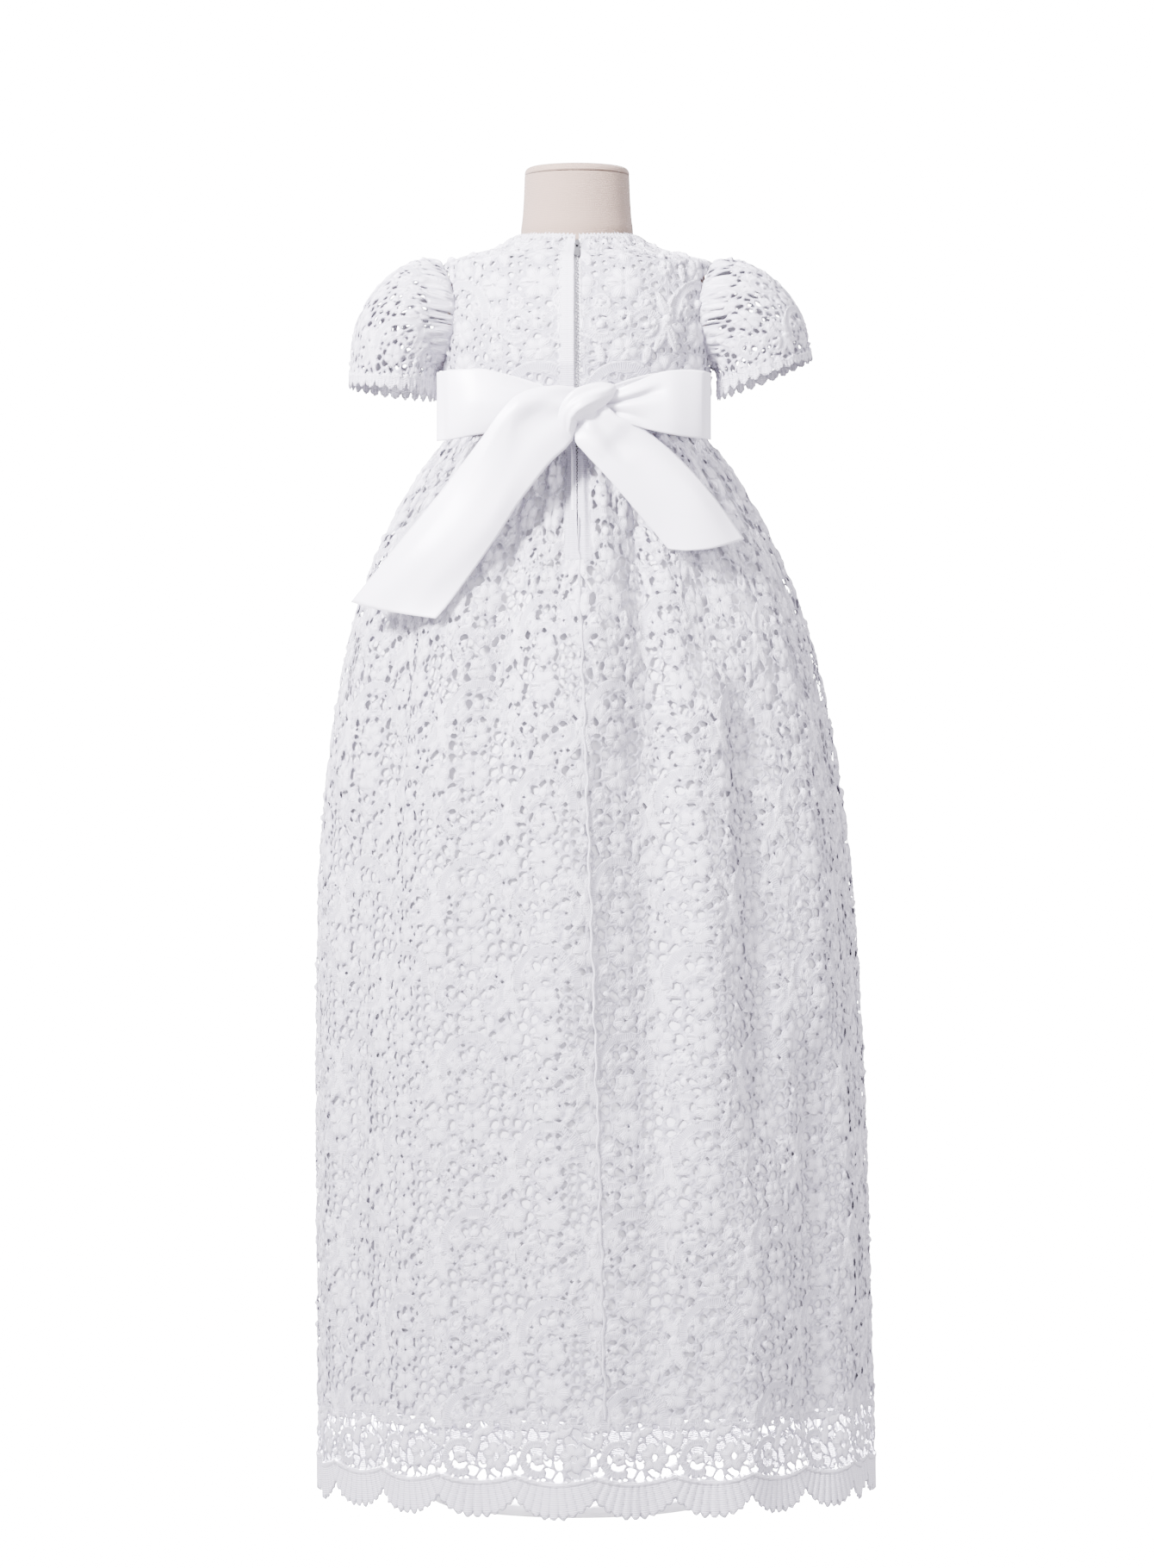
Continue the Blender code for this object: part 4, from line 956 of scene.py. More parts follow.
def sleeve_lace(u, v):
    """Sleeve lace: the main motifs, a little smaller, above a scalloped cuff."""
    cloth = main_lace(u / SLEEVE_LACE_SCALE, v / SLEEVE_LACE_SCALE + 22.0, 8.0, 2.7)
    for key in ("cover", "edge"):
        cloth[key] = cloth[key] * SLEEVE_LACE_SCALE
    width = SLEEVE_WIDTH * 1000 / CUFF_SCALLOPS / CUFF_SCALE
    body, cord, line = fan(u / CUFF_SCALE, v / CUFF_SCALE, width, 32.0, 30.0, 13.0, 3)
    to_armhole = sleeve_length(u / 1000) * 1000 - v
    lay(cloth, (3.0 - to_armhole, 0.6, u))
    trim(cloth, v - line * CUFF_SCALE, to_armhole)
    for inside, relief, stitch in (body, cord):
        lay(cloth, (inside * CUFF_SCALE, relief * 0.7, stitch * CUFF_SCALE))
    return cloth


# Shaders

class Wire:
    """A socket's output. Sums and products on it add Math nodes to its material."""

    def __init__(self, finish, socket):
        self.finish = finish
        self.socket = socket

    def math(self, operation, *values):
        """A Math node on these values."""
        return self.finish.node("ShaderNodeMath", {"operation": operation},
                                dict(enumerate(values)))

    def __add__(self, other):
        return self.math("ADD", self, other)

    def __radd__(self, other):
        return self.math("ADD", other, self)

    def __sub__(self, other):
        return self.math("SUBTRACT", self, other)

    def __rsub__(self, other):
        return self.math("SUBTRACT", other, self)

    def __mul__(self, other):
        return self.math("MULTIPLY", self, other)

    def __rmul__(self, other):
        return self.math("MULTIPLY", other, self)

    def wave(self, pitch):
        """A sine wave from 0 to 1 with this distance from crest to crest."""
        return self.math("SINE", self * (TURN / pitch)) * 0.5 + 0.5

    def step(self, low, high):
        """0 below low and 1 above high, with a straight rise between."""
        return self.finish.node("ShaderNodeMapRange", {"clamp": True},
                                {0: self, 1: low, 2: high, 3: 0.0, 4: 1.0})


class Finish:
    """One material: a Principled BSDF and the nodes that feed it."""

    def __init__(self, name, colour, roughness, **constants):
        self.material = bpy.data.materials.new(name)
        self.material.use_nodes = True
        self.tree = self.material.node_tree
        self.shader = self.tree.nodes["Principled BSDF"]
        self.shader.inputs["Base Color"].default_value = (*colour, 1.0)
        self.shader.inputs["Roughness"].default_value = roughness
        for key, value in constants.items():
            self.shader.inputs[key.replace("_", " ").title()].default_value = value

    def node(self, kind, settings, inputs, output=0):
        """Adds a node: first its own settings, then values or links for its sockets."""
        added = self.tree.nodes.new(kind)
        for key, value in settings.items():
            setattr(added, key, value)
        for key, value in inputs.items():
            self.join(added.inputs[key], value)
        return Wire(self, added.outputs[output])

    def join(self, socket, value):
        """Links a wire to a socket, or sets the socket to a plain value."""
        if isinstance(value, Wire):
            self.tree.links.new(value.socket, socket)
        else:
            socket.default_value = value

    def attribute(self, name):
        """A number that the mesh carries at its points."""
        return self.node("ShaderNodeAttribute", {"attribute_name": name}, {}, "Fac")

    def flat(self):
        """The flat cloth's own coordinates, in metres."""
        return self.node("ShaderNodeUVMap", {"uv_map": "flat"}, {})

    def place(self):
        """Object coordinates, in metres."""
        return self.node("ShaderNodeTexCoord", {}, {}, "Object")

    def axes(self, vector):
        """The three numbers of a vector."""
        split = self.node("ShaderNodeSeparateXYZ", {}, {0: vector}).socket.node
        return tuple(Wire(self, socket) for socket in split.outputs)

    def noise(self, vector, scale, detail=2.0):
        """Soft noise from 0 to 1, with this many grains to a metre."""
        return self.node("ShaderNodeTexNoise", {},
                         {"Vector": vector, "Scale": scale, "Detail": detail})

    def blend(self, share, low, high):
        """A mix of two colours by a share from 0 to 1."""
        share_socket, low_socket, high_socket, colour_output = 0, 6, 7, 2
        return self.node("ShaderNodeMix", {"data_type": "RGBA"},
                         {share_socket: share, low_socket: (*low, 1.0),
                          high_socket: (*high, 1.0)}, colour_output)

    def colour(self, wire):
        """Sets the base colour over the surface."""
        self.join(self.shader.inputs["Base Color"], wire)

    def roughness(self, wire):
        """Sets the roughness over the surface."""
        self.join(self.shader.inputs["Roughness"], wire)

    def bump(self, height, distance, strength=1.0):
        """Bump from a height of 0 to 1 that stands for a distance in metres."""
        bumped = self.node("ShaderNodeBump", {},
                           {"Height": height, "Distance": distance, "Strength": strength})
        self.join(self.shader.inputs["Normal"], bumped)


def made_once(name):
    """Makes a finish's material when a piece first asks for it, and gives the same one after."""
    def keep(build):
        return lambda: bpy.data.materials.get(name) or build(name)
    return keep


@made_once("lace_thread")
def lace_finish(name):
    """Matt thread: cords along the motifs' edges, stitches across them, a fuzz of fine noise. Its
    colour holds painted shade and highlight: dark where the lace lies low, light on high relief,
    cords and stitch ribs.
    """
    settings = bpy.context.scene.gown_lace
    finish = Finish(name, settings.colour, 0.75, sheen_weight=0.1)
    edge, stitch = finish.attribute("edge"), finish.attribute("stitch")
    relief = finish.attribute("relief")
    pitch = settings.thread_pitch * 1000
    cord = edge.step(0.0, 0.8) * (1.0 - edge.step(0.9, 1.1))
    ribs = stitch.wave(pitch) * edge.step(1.0, 1.8)
    fuzz = finish.noise(finish.flat(), 1400.0)
    height = cord * 0.55 + ribs * 0.35 + fuzz * 0.25
    # Painted shade and highlight: this share runs the colour from the painted shade colour on low
    # relief up to the thread colour on high relief, on the cords and on the stitch ribs.
    bright = relief.step(0.1, 1.1) * 0.62 + cord * 0.24 + ribs * 0.14
    finish.colour(finish.blend(bright, settings.shade, settings.colour))
    finish.bump(height, 0.0009, 0.8)
    return finish.material


@made_once("lining_weave")
def lining_finish(name):
    """Plain woven lining: fine crossed threads and a soft sheen. The white cloth is coloured a
    light grey, as painted shade, so that it reads darker through the lace's gaps.
    """
    # Painted shade: these greys stand in for the lining's white, darkened so that the gaps in the
    # lace read shaded; the slubs vary them at random.
    finish = Finish(name, (0.76, 0.745, 0.80), 0.5, sheen_weight=0.1)
    across, up, _ = finish.axes(finish.flat())
    weave = across.wave(0.0007) * up.wave(0.0007)
    slub = finish.noise(finish.flat(), 90.0)
    finish.colour(finish.blend(slub, (0.72, 0.705, 0.76), (0.80, 0.785, 0.84)))
    finish.bump(weave * 0.6 + slub * 0.4, 0.0002, 0.5)
    return finish.material


@made_once("satin_face")
def satin_finish(name):
    """Satin: a bright smooth face with the faintest crosswise weave."""
    settings = bpy.context.scene.gown_ribbon
    finish = Finish(name, settings.colour, settings.roughness, sheen_weight=0.15,
                    coat_weight=0.12, coat_roughness=0.35)
    across, up, _ = finish.axes(finish.flat())
    weave = across.wave(0.0005) * 0.5 + up.wave(0.0009) * 0.5
    cloud = finish.noise(finish.flat(), 40.0)
    finish.roughness(cloud * 0.14 + (settings.roughness - 0.07))
    finish.bump(weave * 0.5 + cloud * 0.5, 0.00012, 0.5)
    return finish.material


@made_once("form_linen")
def linen_finish(name):
    """Linen: uneven threads both ways, slubs, and small changes of colour."""
    settings = bpy.context.scene.gown_form
    finish = Finish(name, settings.linen, 0.85, sheen_weight=0.2)
    across, up, _ = finish.axes(finish.flat())
    wobble = finish.noise(finish.flat(), 220.0)
    warp = (across + wobble * 0.0004).wave(0.0011)
    weft = (up + wobble * 0.0005).wave(0.0012)
    slub = finish.noise(finish.flat(), 600.0, 4.0)
    dark = [value * 0.82 for value in settings.linen]
    light = [min(value * 1.12, 1.0) for value in settings.linen]
    finish.colour(finish.blend(warp * 0.3 + weft * 0.3 + slub * 0.4, dark, light))
    finish.bump(warp * 0.4 + weft * 0.4 + slub * 0.3, 0.0004, 0.7)
    return finish.material


@made_once("nickel_plate")
def nickel_finish(name):
    """Plated metal with a faint uneven polish. Its colour is painted shade: far darker than plated
    nickel, so that the slider and pull look dark in the white room.
    """
    # Painted shade: a near-black colour in place of nickel's own bright one.
    finish = Finish(name, (0.11, 0.11, 0.118), 0.3, metallic=1.0)
    polish = finish.noise(finish.place(), 900.0)
    finish.roughness(polish * 0.15 + 0.23)
    finish.bump(polish, 0.00005, 0.4)
    return finish.material


@made_once("form_paint")
def paint_finish(name):
    """White satin paint on metal, with a fine orange-peel skin."""
    finish = Finish(name, bpy.context.scene.gown_form.paint, 0.4)
    skin = finish.noise(finish.place(), 500.0)
    finish.roughness(skin * 0.1 + 0.35)
    finish.bump(skin, 0.0001, 0.3)
    return finish.material


@made_once("zip_plastic")
def zip_finish(name):
    """Zip teeth of white moulded plastic, coloured dark grey as painted shade of the narrow gap
    between the zip's edges, with a fine grain.
    """
    # Painted shade: dark greys in place of the teeth's white; the grain varies them at random.
    finish = Finish(name, (0.17, 0.17, 0.18), 0.5)
    grain = finish.noise(finish.place(), 2500.0)
    finish.colour(finish.blend(grain, (0.12, 0.12, 0.13), (0.22, 0.22, 0.235)))
    finish.bump(grain, 0.0001, 0.4)
    return finish.material


# Operators, one for each piece or group of pieces

class GownOperator(bpy.types.Operator):
    """Makes one group of the gown's pieces"""
    bl_options = {"REGISTER", "UNDO"}

    def execute(self, context):
        self.make(context)
        return {"FINISHED"}


class MakeForm(GownOperator):
    """Smooth linen torso, neck cap, pole and base"""
    bl_idname = "gown.form"
    bl_label = "Dress form"

    def make(self, context):
        self.torso()
        self.cap(context.scene.gown_form.cap_height)
        lathe("white_pole", POLE_OUTLINE, 0.0, 1.0, paint_finish(),
              ["form_pole"], 48)
        lathe("white_base", BASE_OUTLINE, 0.0, 1.0, paint_finish(),
              ["form_base"])

    def torso(self):
        """Ovals through the sections below the waist, just inside the bodice, and up the neck."""
        body_z = np.array(BODY_SECTIONS["z"][1:])
        half_width, half_depth, forward = body_size(body_z)
        inside = (body_z - 0.0005, half_width - FORM_INSET, half_depth - FORM_INSET, forward)
        heights, widths, depths, forwards = (
            np.concatenate([FORM_SECTIONS[key], middle, FORM_NECK[key]])
            for key, middle in zip(FORM_SECTIONS, inside)
        )
        rows, sides = 110, 72
        z = np.linspace(heights[0], heights[-1], rows)[:, None]
        angle = np.linspace(0.0, TURN, sides, endpoint=False)[None, :]
        x = through(heights, widths, z) * np.sin(angle)
        y = through(heights, forwards, z) - through(heights, depths, z) * np.cos(angle)
        points = stacked(x, y, z)
        points = np.concatenate([points[:1] * [0.02, 0.02, 1.0], points])
        flat = stacked(angle * FORM_ROUND, z)
        flat = np.concatenate([flat[:1], flat])
        add_piece("linen_torso", points, grid_faces(len(points), sides, True), linen_finish(),
                  ["form_torso"], flat, period=TURN * FORM_ROUND)

    def cap(self, height):
        """The neck's cap: a disc with a rounded rim, its outline turned round the neck."""
        top = FORM_NECK["z"][-1] + 0.0003
        radius = FORM_NECK["half_width"][-1]
        ratio = FORM_NECK["half_depth"][-1] / radius
        rim, lip = 0.004, 0.0012
        outline = [(0.0005, top), (radius - 0.0015, top), (radius, top + 0.0008)]
        outline += [(radius - rim * (1 - math.cos(k)), top + lip + (height - lip) * math.sin(k))
                    for k in np.linspace(0.0, math.pi / 2, 8)]
        outline += [(0.0005, top + height)]
        lathe("neck_cap", outline, FORM_NECK["forward"][-1], ratio, linen_finish(),
              ["form_neck_cap"])


class MakeBodice(GownOperator):
    """Lace bodice over its white lining"""
    bl_idname = "gown.bodice"
    bl_label = "Bodice"

    def make(self, context):
        length = BODICE_LENGTH[-1]
        quarter = math.pi / 2 * BODICE_RADIUS
        aside = ZIP_OPENING / 2 / BODY_SECTIONS["half_depth"][1] * BODICE_RADIUS
        panels = (
            ("bodice_lace_right", "bodice_back_right", (aside, quarter)),
            ("bodice_lace_front", "bodice_front", (quarter, 3 * quarter)),
            ("bodice_lace_left", "bodice_back_left", (3 * quarter, 4 * quarter - aside)),
        )
        settings = context.scene.gown_lace
        for name, node, span in panels:
            coarser = settings.front_grid if name == "bodice_lace_front" else 1.0
            piece = lace_sheet(name, body_surface, bodice_lace, span, (0.0, length),
                               settings.fine_grid * coarser, lace_finish(), [node], 1.6)
            width = span[1] - span[0]
            0.75 * width * length
        piece = lace_sheet("bodice_lining", self.under, self.lining_cut,
                           (aside, 4 * quarter - aside), (0.0, length), 0.004, lining_finish(),
                           [], 0.0)

    def under(self, u, v):
        """The bodice's surface, moved in by the lace's thickness."""
        return raised(body_surface, u, v, -0.0011)

    def lining_cut(self, u, v):
        """Plain cloth, cut a little inside the lace's neckline."""
        to_neck, to_armhole = bodice_cut(u, v)
        cloth = blank_lace(u)
        lay(cloth, (np.minimum(to_neck - 1.2, to_armhole), 0.0, u))
        return cloth


class MakeSleeves(GownOperator):
    """Two unlined puff sleeves with scalloped cuffs"""
    bl_idname = "gown.sleeves"
    bl_label = "Sleeves"

    def make(self, context):
        settings = context.scene.gown_lace
        for word, side in (("left", -1), ("right", 1)):
            piece = lace_sheet(f"sleeve_{word}", sleeve_surface(side), sleeve_lace,
                               (0.0, SLEEVE_WIDTH), (0.0, SLEEVE_OVER), settings.fine_grid,
                               lace_finish(), [f"sleeve_{word}_back", f"sleeve_{word}_front"],
                               0.8, settings.thickness)


class MakeSkirt(GownOperator):
    """Gathered lace skirt over its lining, with the raised back seam"""
    bl_idname = "gown.skirt"
    bl_label = "Skirt"

    def make(self, context):
        settings = context.scene.gown_lace
        whole = cloth_per_turn()
        material = lace_finish()
        low, high = BORDER_TOP_Z, WAIST_Z - 0.0003
        quarters = (
            ("skirt_lace_back_right", "skirt_back_right", 0.0, "back", 1.0),
            ("skirt_lace_front_right", "skirt_front", 0.25, "front", settings.front_grid),
            ("skirt_lace_front_left", "skirt_front", 0.5, "front", settings.front_grid),
            ("skirt_lace_back_left", "skirt_back_left", 0.75, "back", 1.0),
        )
        for name, node, start, half, coarser in quarters:
            span = (start * whole, (start + 0.25) * whole)
            piece = lace_sheet(name, skirt_surface, skirt_lace, span, (low, high),
                               settings.grid * coarser, material, [node])
        for name, start, nodes in (
            ("skirt_lining_front", 0.25, ["lining_front_left", "lining_front_right"]),
            ("skirt_lining_back", -0.25, ["lining_back_left", "lining_back_right"]),
        ):
            span = (start * whole, (start + 0.5) * whole)
            piece = surface_piece(name, lining_surface, span, (LINING_HEM_Z, high), (150, 60),
                                  lining_finish(), nodes)
        self.seam(material)

    def seam(self, material):
        """The lace's edges stand up in a thin line down the centre back, a strip that sways and
        varies in width by sines of its height."""
        rows, columns = 300, 5
        z = np.linspace(SEAM_LOW_Z, ZIP_END_Z - SEAM_BELOW_ZIP, rows)[:, None]
        across = np.linspace(-1.0, 1.0, columns)[None, :]
        share = (ZIP_END_Z - z) / ZIP_END_Z
        angle = np.radians(0.5 + 1.7 * share) + 0.0055 * np.sin(z * 210) * np.sin(z * 77)
        width = 0.0008 + 0.0003 * np.sin(z * 640) * np.sin(z * 170)
        u = (angle + across * width / 0.15) / TURN * cloth_per_turn()
        points = raised(skirt_surface, u, z, SEAM_HEIGHT + SEAM_CROWN * (1 - across**2))
        values = {"edge": 1.2 * (1 - np.abs(across)), "relief": 0.7, "stitch": z * 1000}
        values = {key: np.broadcast_to(value, u.shape) for key, value in values.items()}
        add_piece("skirt_back_seam", points, grid_faces(rows, columns), material,
                  [], stacked(u, z), values)


class MakeBorder(GownOperator):
    """Open scalloped border below the lining"""
    bl_idname = "gown.border"
    bl_label = "Border"

    def make(self, context):
        settings = context.scene.gown_lace
        whole = cloth_per_turn()
        height = BORDER_TOP_Z - HEM_Z

        def surface(u, v):
            """The skirt's surface, by the height above the hem."""
            return skirt_surface(u, v + HEM_Z)

        for half, start, coarser in (("front", 0.25, settings.front_grid),
                                     ("back", -0.25, 1.0)):
            span = (start * whole, (start + 0.5) * whole)
            piece = lace_sheet(f"border_lace_{half}", surface, border_lace, span,
                               (0.0, height), settings.fine_grid * coarser, lace_finish(),
                               [f"border_{half}"], 0.9, settings.thickness)


class MakeSash(GownOperator):
    """Satin sash and the bow tied in it"""
    bl_idname = "gown.sash"
    bl_label = "Sash and bow"

    def make(self, context):
        settings = context.scene.gown_ribbon
        satin = satin_finish()
        low = np.interp(SASH_BOTTOM_Z, BODICE_Z, BODICE_LENGTH)
        high = np.interp(SASH_TOP_Z, BODICE_Z, BODICE_LENGTH)

        def band(u, v):
            """The bodice's surface moved out, narrowed to 45 % at the knot, creased by sines."""
            angle = u / BODICE_RADIUS
            from_back = (angle + math.pi) % TURN - math.pi
            pinch = np.exp(-((from_back / 0.42) ** 2))
            tied = low + 0.3 * (high - low) + 0.45 * (v - low - 0.3 * (high - low))
            crease = 0.0007 * np.sin(v * 420 + 1.5 * np.sin(2 * angle)) * np.abs(np.sin(angle))
            crease = crease + 0.0009 * pinch * np.sin(v * 900)
            return raised(body_surface, u, v + (tied - v) * pinch, SASH_OUT + crease)

        turn = TURN * BODICE_RADIUS
        piece = surface_piece("satin_sash", band, (0.0, turn), (low, high), (180, 20), satin,
                              ["sash"], True, settings.thickness)
        for word, table, creases in (("left", LEFT_LOOP, LEFT_CREASES),
                                     ("right", RIGHT_LOOP, RIGHT_CREASES)):
            points, length = self.loop(table, creases)
            self.ribbon(f"bow_satin_loop_{word}", points, length, satin, f"bow_loop_{word}")
        for word, table in (("left", LEFT_TAIL), ("right", RIGHT_TAIL)):
            points, length = self.tail(table)
            self.ribbon(f"bow_satin_tail_{word}", points, length, satin, f"bow_tail_{word}")
        self.knot(satin)

    def loop(self, table, creases):
        """Smooth sections through a loop's table, swollen across, creased towards the knot."""
        sections = np.array(table)
        run = run_along(sections[:, :2])
        rows, columns = 90, 33
        s = np.linspace(0.0, run[-1], rows)
        x, y, z_low, z_high = through(run, sections, s).T[..., None]
        across = np.linspace(-1.0, 1.0, columns)[None, :]
        share = (s / run[-1])[:, None]
        near_knot = np.exp(-np.minimum(share, 1 - share) / 0.10)
        swell = bpy.context.scene.gown_ribbon.crown * (1 - across**2) * (1 - near_knot)
        swell = swell + 0.0014 * near_knot * np.cos(3.2 * math.pi * across + 0.6)
        swell = swell + 0.0012 * np.sin(math.pi * share) * np.sin(2.3 * across + 9.0 * share)
        for row in creases:
            crease = dict(zip(CREASE_COLUMNS, row))
            along = np.clip(share / crease["reach"], 0.0, 1.0)
            line = crease["knot_end"] + (crease["far_end"] - crease["knot_end"]) * along
            valley = np.exp(-(((across - line) / (0.10 + 0.14 * along)) ** 2))
            swell = swell - crease["depth"] * valley * (1 - between(0.6, 1.0, along))
        front = np.sign(sections[:, 1].mean() - y)
        z = (z_low + z_high) / 2 + across * (z_high - z_low) / 2
        return stacked(x, y - front * swell, z), run[-1]

    def tail(self, table):
        """A tail's sheet through its table, with small pleats that fade from the knot."""
        rows, columns = 80, 33
        points, length = patch(table, rows, columns)
        s = np.linspace(0.0, length, rows)[:, None]
        across = np.linspace(0.0, 1.0, columns)[None, :]
        pleat = 0.0018 * np.exp(-s / 0.030) * np.cos(4.4 * math.pi * across + 6 * s)
        soft = 0.0016 * np.sin(s * 40 + 4.5 * across) * between(0.0, 0.05, s)
        points[..., 1] -= pleat + soft
        return points, length

    def ribbon(self, name, points, length, material, node):
        """A ribbon's mesh from its rows of points, with its flat length and width."""
        rows, columns = points.shape[:2]
        width = float(np.median(np.linalg.norm(np.diff(points, axis=1), axis=2).sum(axis=1)))
        s = np.linspace(0.0, length, rows)[:, None]
        across = np.linspace(0.0, width, columns)[None, :]
        piece = add_piece(name, points, grid_faces(rows, columns), material,
                          [node], stacked(s, across))
        thicken(piece, bpy.context.scene.gown_ribbon.thickness, 0.0)

    def knot(self, material):
        """The knot's core, an ellipsoid, and the roll of ribbon round it: circles on a curved
        spine, pleated along its length."""
        sides, rings = 60, 76
        theta = np.linspace(0.0, TURN, sides, endpoint=False)[None, :]
        polar = np.linspace(0.02, math.pi - 0.02, 20)[:, None]
        unit = stacked(np.sin(polar) * np.cos(theta), np.sin(polar) * np.sin(theta),
                       np.cos(polar))
        core = unit[::-1] * np.array(KNOT_HALF_SIZE) + np.array(KNOT_CENTRE)
        spine = np.array(KNOT_ROLL) / 1000
        run = run_along(spine[:, :3])
        s = np.linspace(0.0, run[-1], rings)
        rows = through(run, spine, s)
        heading = np.gradient(rows[:, :3], s, axis=0)
        heading /= np.linalg.norm(heading, axis=1, keepdims=True)
        out = np.array([0.0, -1.0, 0.0])
        side = np.cross(heading, out)
        side /= np.linalg.norm(side, axis=1, keepdims=True)
        share = (s / run[-1])[:, None]
        pleats = 0.11 * np.cos(5 * theta + 2.4 * share) + 0.05 * np.cos(9 * theta - 5 * share)
        radius = rows[:, 3:] * (1.0 + pleats * np.sin(math.pi * share))
        ring = (side[:, None, :] * np.sin(theta)[..., None]
                + np.cross(side, heading)[:, None, :] * np.cos(theta)[..., None])
        roll = rows[:, None, :3] + ring * radius[..., None]
        faces = [grid_faces(len(core), sides, True),
                 grid_faces(rings, sides, True) + len(core) * sides]
        points = np.concatenate([core.reshape(-1, 3), roll.reshape(-1, 3)])
        around = theta * KNOT_ROUND
        flat = np.concatenate([stacked(around, polar * KNOT_HALF_SIZE[0]).reshape(-1, 2),
                               stacked(around, share * run[-1]).reshape(-1, 2)])
        add_piece("satin_knot", points, np.concatenate(faces), material,
                  ["bow_knot"], flat, period=TURN * KNOT_ROUND)


class MakeZip(GownOperator):
    """Zip teeth and tape, with the slider and pull tab in nickel"""
    bl_idname = "gown.zip"
    bl_label = "Zip"

    def make(self, context):
        self.teeth()
        self.tape()
        for name in ("zip_slider", "zip_pull"):
            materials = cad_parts[name].data.materials
            materials.clear()
            materials.append(nickel_finish())

    def line(self, height, out):
        """Points of the centre back, a distance out from the bodice and the skirt's folds."""
        middle = np.zeros_like(height)
        on_body = np.interp(np.maximum(height, WAIST_Z), BODICE_Z, BODICE_LENGTH)
        body = raised(body_surface, middle, on_body, out)
        skirt = skirt_point(middle, height, main_folds(middle, height) + ZIP_IN_SKIRT - out)
        skirt[..., 0] = 0.0
        return np.where((height >= WAIST_Z)[..., None], body, skirt)

    def teeth(self):
        """Small blocks up the centre back, by turns to the left and the right."""
        centres = self.line(np.arange(ZIP_END_Z, ZIP_TOP_Z, TOOTH_PITCH), TOOTH_OUT)
        count = len(centres)
        centres[:, 0] += np.where(np.arange(count) % 2 == 0, 1.0, -1.0) * TOOTH_ASIDE
        corner = np.array([[x, y, z] for z in (-1, 1) for y in (-1, 1) for x in (-1, 1)], float)
        points = centres[:, None, :] + corner * np.array(TOOTH_HALF_SIZE)
        box = np.array([[0, 2, 3, 1], [4, 5, 7, 6], [0, 1, 5, 4], [2, 6, 7, 3], [0, 4, 6, 2],
                        [1, 3, 7, 5]])
        faces = (box + len(corner) * np.arange(count)[:, None, None]).reshape(-1, 4)
        add_piece("zip_teeth", points, faces, zip_finish(), ["zip_chain"])

    def tape(self):
        """The tape under the teeth, a flat strip along the same line."""
        rows, columns = 200, 5
        across, height = np.meshgrid(np.linspace(-1.0, 1.0, columns) * TAPE_HALF_WIDTH,
                                     np.linspace(ZIP_END_Z, ZIP_TOP_Z, rows))
        tape = self.line(height, TAPE_OUT)
        tape[..., 0] += across
        add_piece("zip_tape", tape, grid_faces(rows, columns), lining_finish(), [],
                  stacked(across, height))


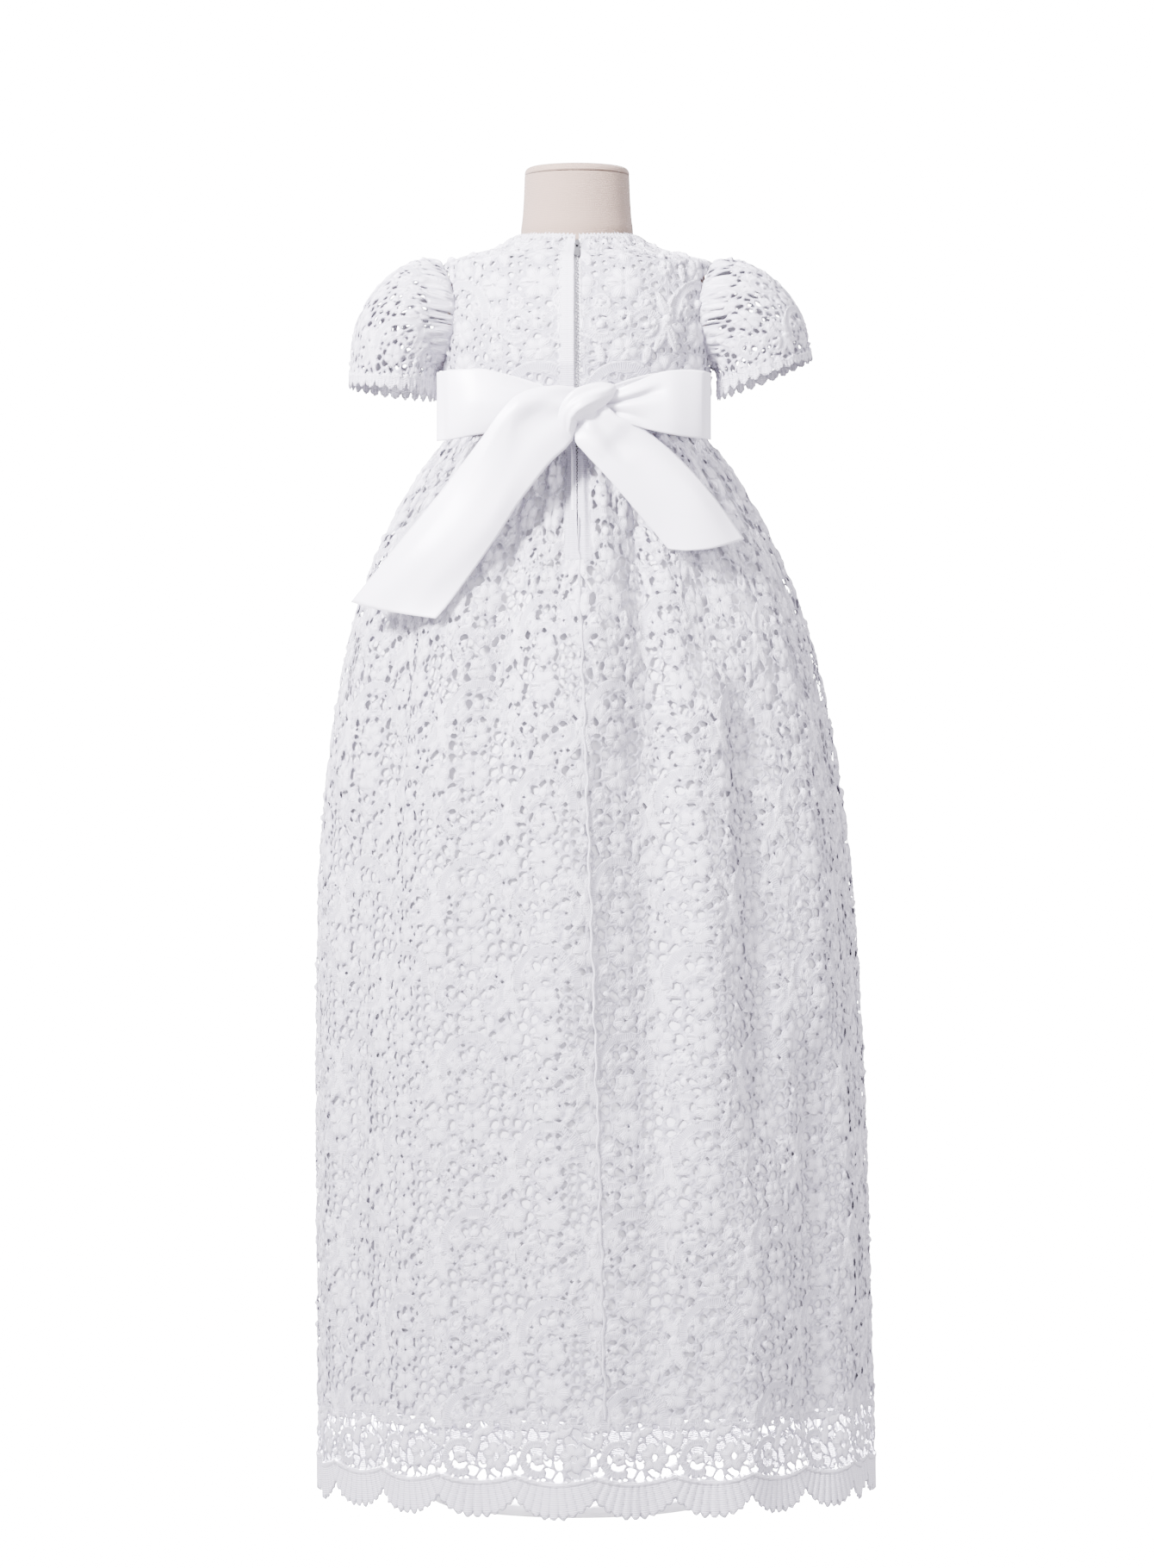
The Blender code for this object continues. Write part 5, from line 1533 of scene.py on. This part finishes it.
class MakeStage(GownOperator):
    """Pale backdrop, soft lights and the camera"""
    bl_idname = "gown.stage"
    bl_label = "Stage"

    def make(self, context):
        settings = context.scene.gown_stage
        self.backdrop(context)
        for name, place, aim, size, share, spread in LAMPS:
            self.light(context, name, place, aim, size, settings.key * share, spread)
        world = bpy.data.worlds.new("white_room")
        world.use_nodes = True
        background = world.node_tree.nodes["Background"]
        background.inputs["Color"].default_value = ROOM_COLOUR
        background.inputs["Strength"].default_value = ROOM_STRENGTH
        context.scene.world = world
        camera = bpy.data.objects.new("camera", bpy.data.cameras.new("camera"))
        camera.data.lens = settings.lens
        camera.location = (0.0, -settings.distance, settings.height)
        camera.rotation_euler = (math.pi / 2, 0.0, 0.0)
        context.scene.collection.objects.link(camera)
        context.scene.camera = camera

    def backdrop(self, context):
        """A floor that curves up into a wall behind the gown. It glows white to the camera and
        gives the gown no light."""
        turn = np.linspace(0.0, math.pi / 2, 16)
        y = CURVE_START_Y + CURVE_RADIUS * np.sin(turn)
        y = np.concatenate([[FLOOR_FRONT_Y], y, [CURVE_START_Y + CURVE_RADIUS]])[:, None]
        z = CURVE_RADIUS - CURVE_RADIUS * np.cos(turn)
        z = np.concatenate([[0.0], z, [WALL_TOP_Z]])[:, None]
        x = np.linspace(-BACKDROP_HALF_WIDTH, BACKDROP_HALF_WIDTH, 3)
        mesh = bpy.data.meshes.new("backdrop")
        mesh.from_pydata(stacked(x, y, z).reshape(-1, 3), [], grid_faces(len(y), len(x)))
        mesh.polygons.foreach_set("use_smooth", np.ones(len(mesh.polygons), bool))
        finish = Finish("backdrop_paper", (0.93, 0.93, 0.93), 0.9,
                        emission_color=(1.0, 1.0, 1.0, 1.0), emission_strength=BACKDROP_GLOW)
        grain = finish.noise(finish.place(), 300.0)
        finish.bump(grain, 0.0003, 0.1)
        mesh.materials.append(finish.material)
        sheet = bpy.data.objects.new("backdrop", mesh)
        context.scene.collection.objects.link(sheet)
        sheet.visible_diffuse = False
        sheet.visible_glossy = False

    def light(self, context, name, place, aim, size, power, spread):
        """A square soft light that faces a point and spreads over an angle in degrees."""
        lamp = bpy.data.objects.new(name, bpy.data.lights.new(name, "AREA"))
        lamp.data.size = size
        lamp.data.energy = power
        lamp.data.spread = math.radians(spread)
        lamp.data.color = LAMP_COLOUR
        lamp.location = place
        x, y, z = np.array(aim) - np.array(place)
        lamp.rotation_euler = (math.atan2(math.hypot(x, y), -z), 0.0,
                               math.atan2(y, x) - math.pi / 2)
        context.scene.collection.objects.link(lamp)


OPERATORS = (MakeForm, MakeBodice, MakeSleeves, MakeSkirt, MakeBorder, MakeSash, MakeZip,
             MakeStage)
SETTINGS = {"gown_lace": GownLace, "gown_ribbon": GownRibbon, "gown_form": GownForm,
            "gown_stage": GownStage}


class GownPanel(bpy.types.Panel):
    """Buttons for the gown's pieces"""
    bl_idname = "VIEW3D_PT_gown"
    bl_label = "Christening gown"
    bl_space_type = "VIEW_3D"
    bl_region_type = "UI"
    bl_category = "Gown"

    def draw(self, context):
        for operator in OPERATORS:
            self.layout.operator(operator.bl_idname)
        for name, settings in SETTINGS.items():
            box = self.layout.box()
            for key in settings.__annotations__:
                box.prop(getattr(context.scene, name), key)


CLASSES = (*SETTINGS.values(), *OPERATORS, GownPanel)


def register():
    for item in CLASSES:
        bpy.utils.register_class(item)
    for name, settings in SETTINGS.items():
        setattr(bpy.types.Scene, name, PointerProperty(type=settings))


def unregister():
    for name in SETTINGS:
        delattr(bpy.types.Scene, name)
    for item in reversed(CLASSES):
        bpy.utils.unregister_class(item)


def main():
    """Makes every piece."""
    register()
    for operator in OPERATORS:
        group, name = operator.bl_idname.split(".")
        getattr(getattr(bpy.ops, group), name)()


if __name__ == "__main__":
    main()
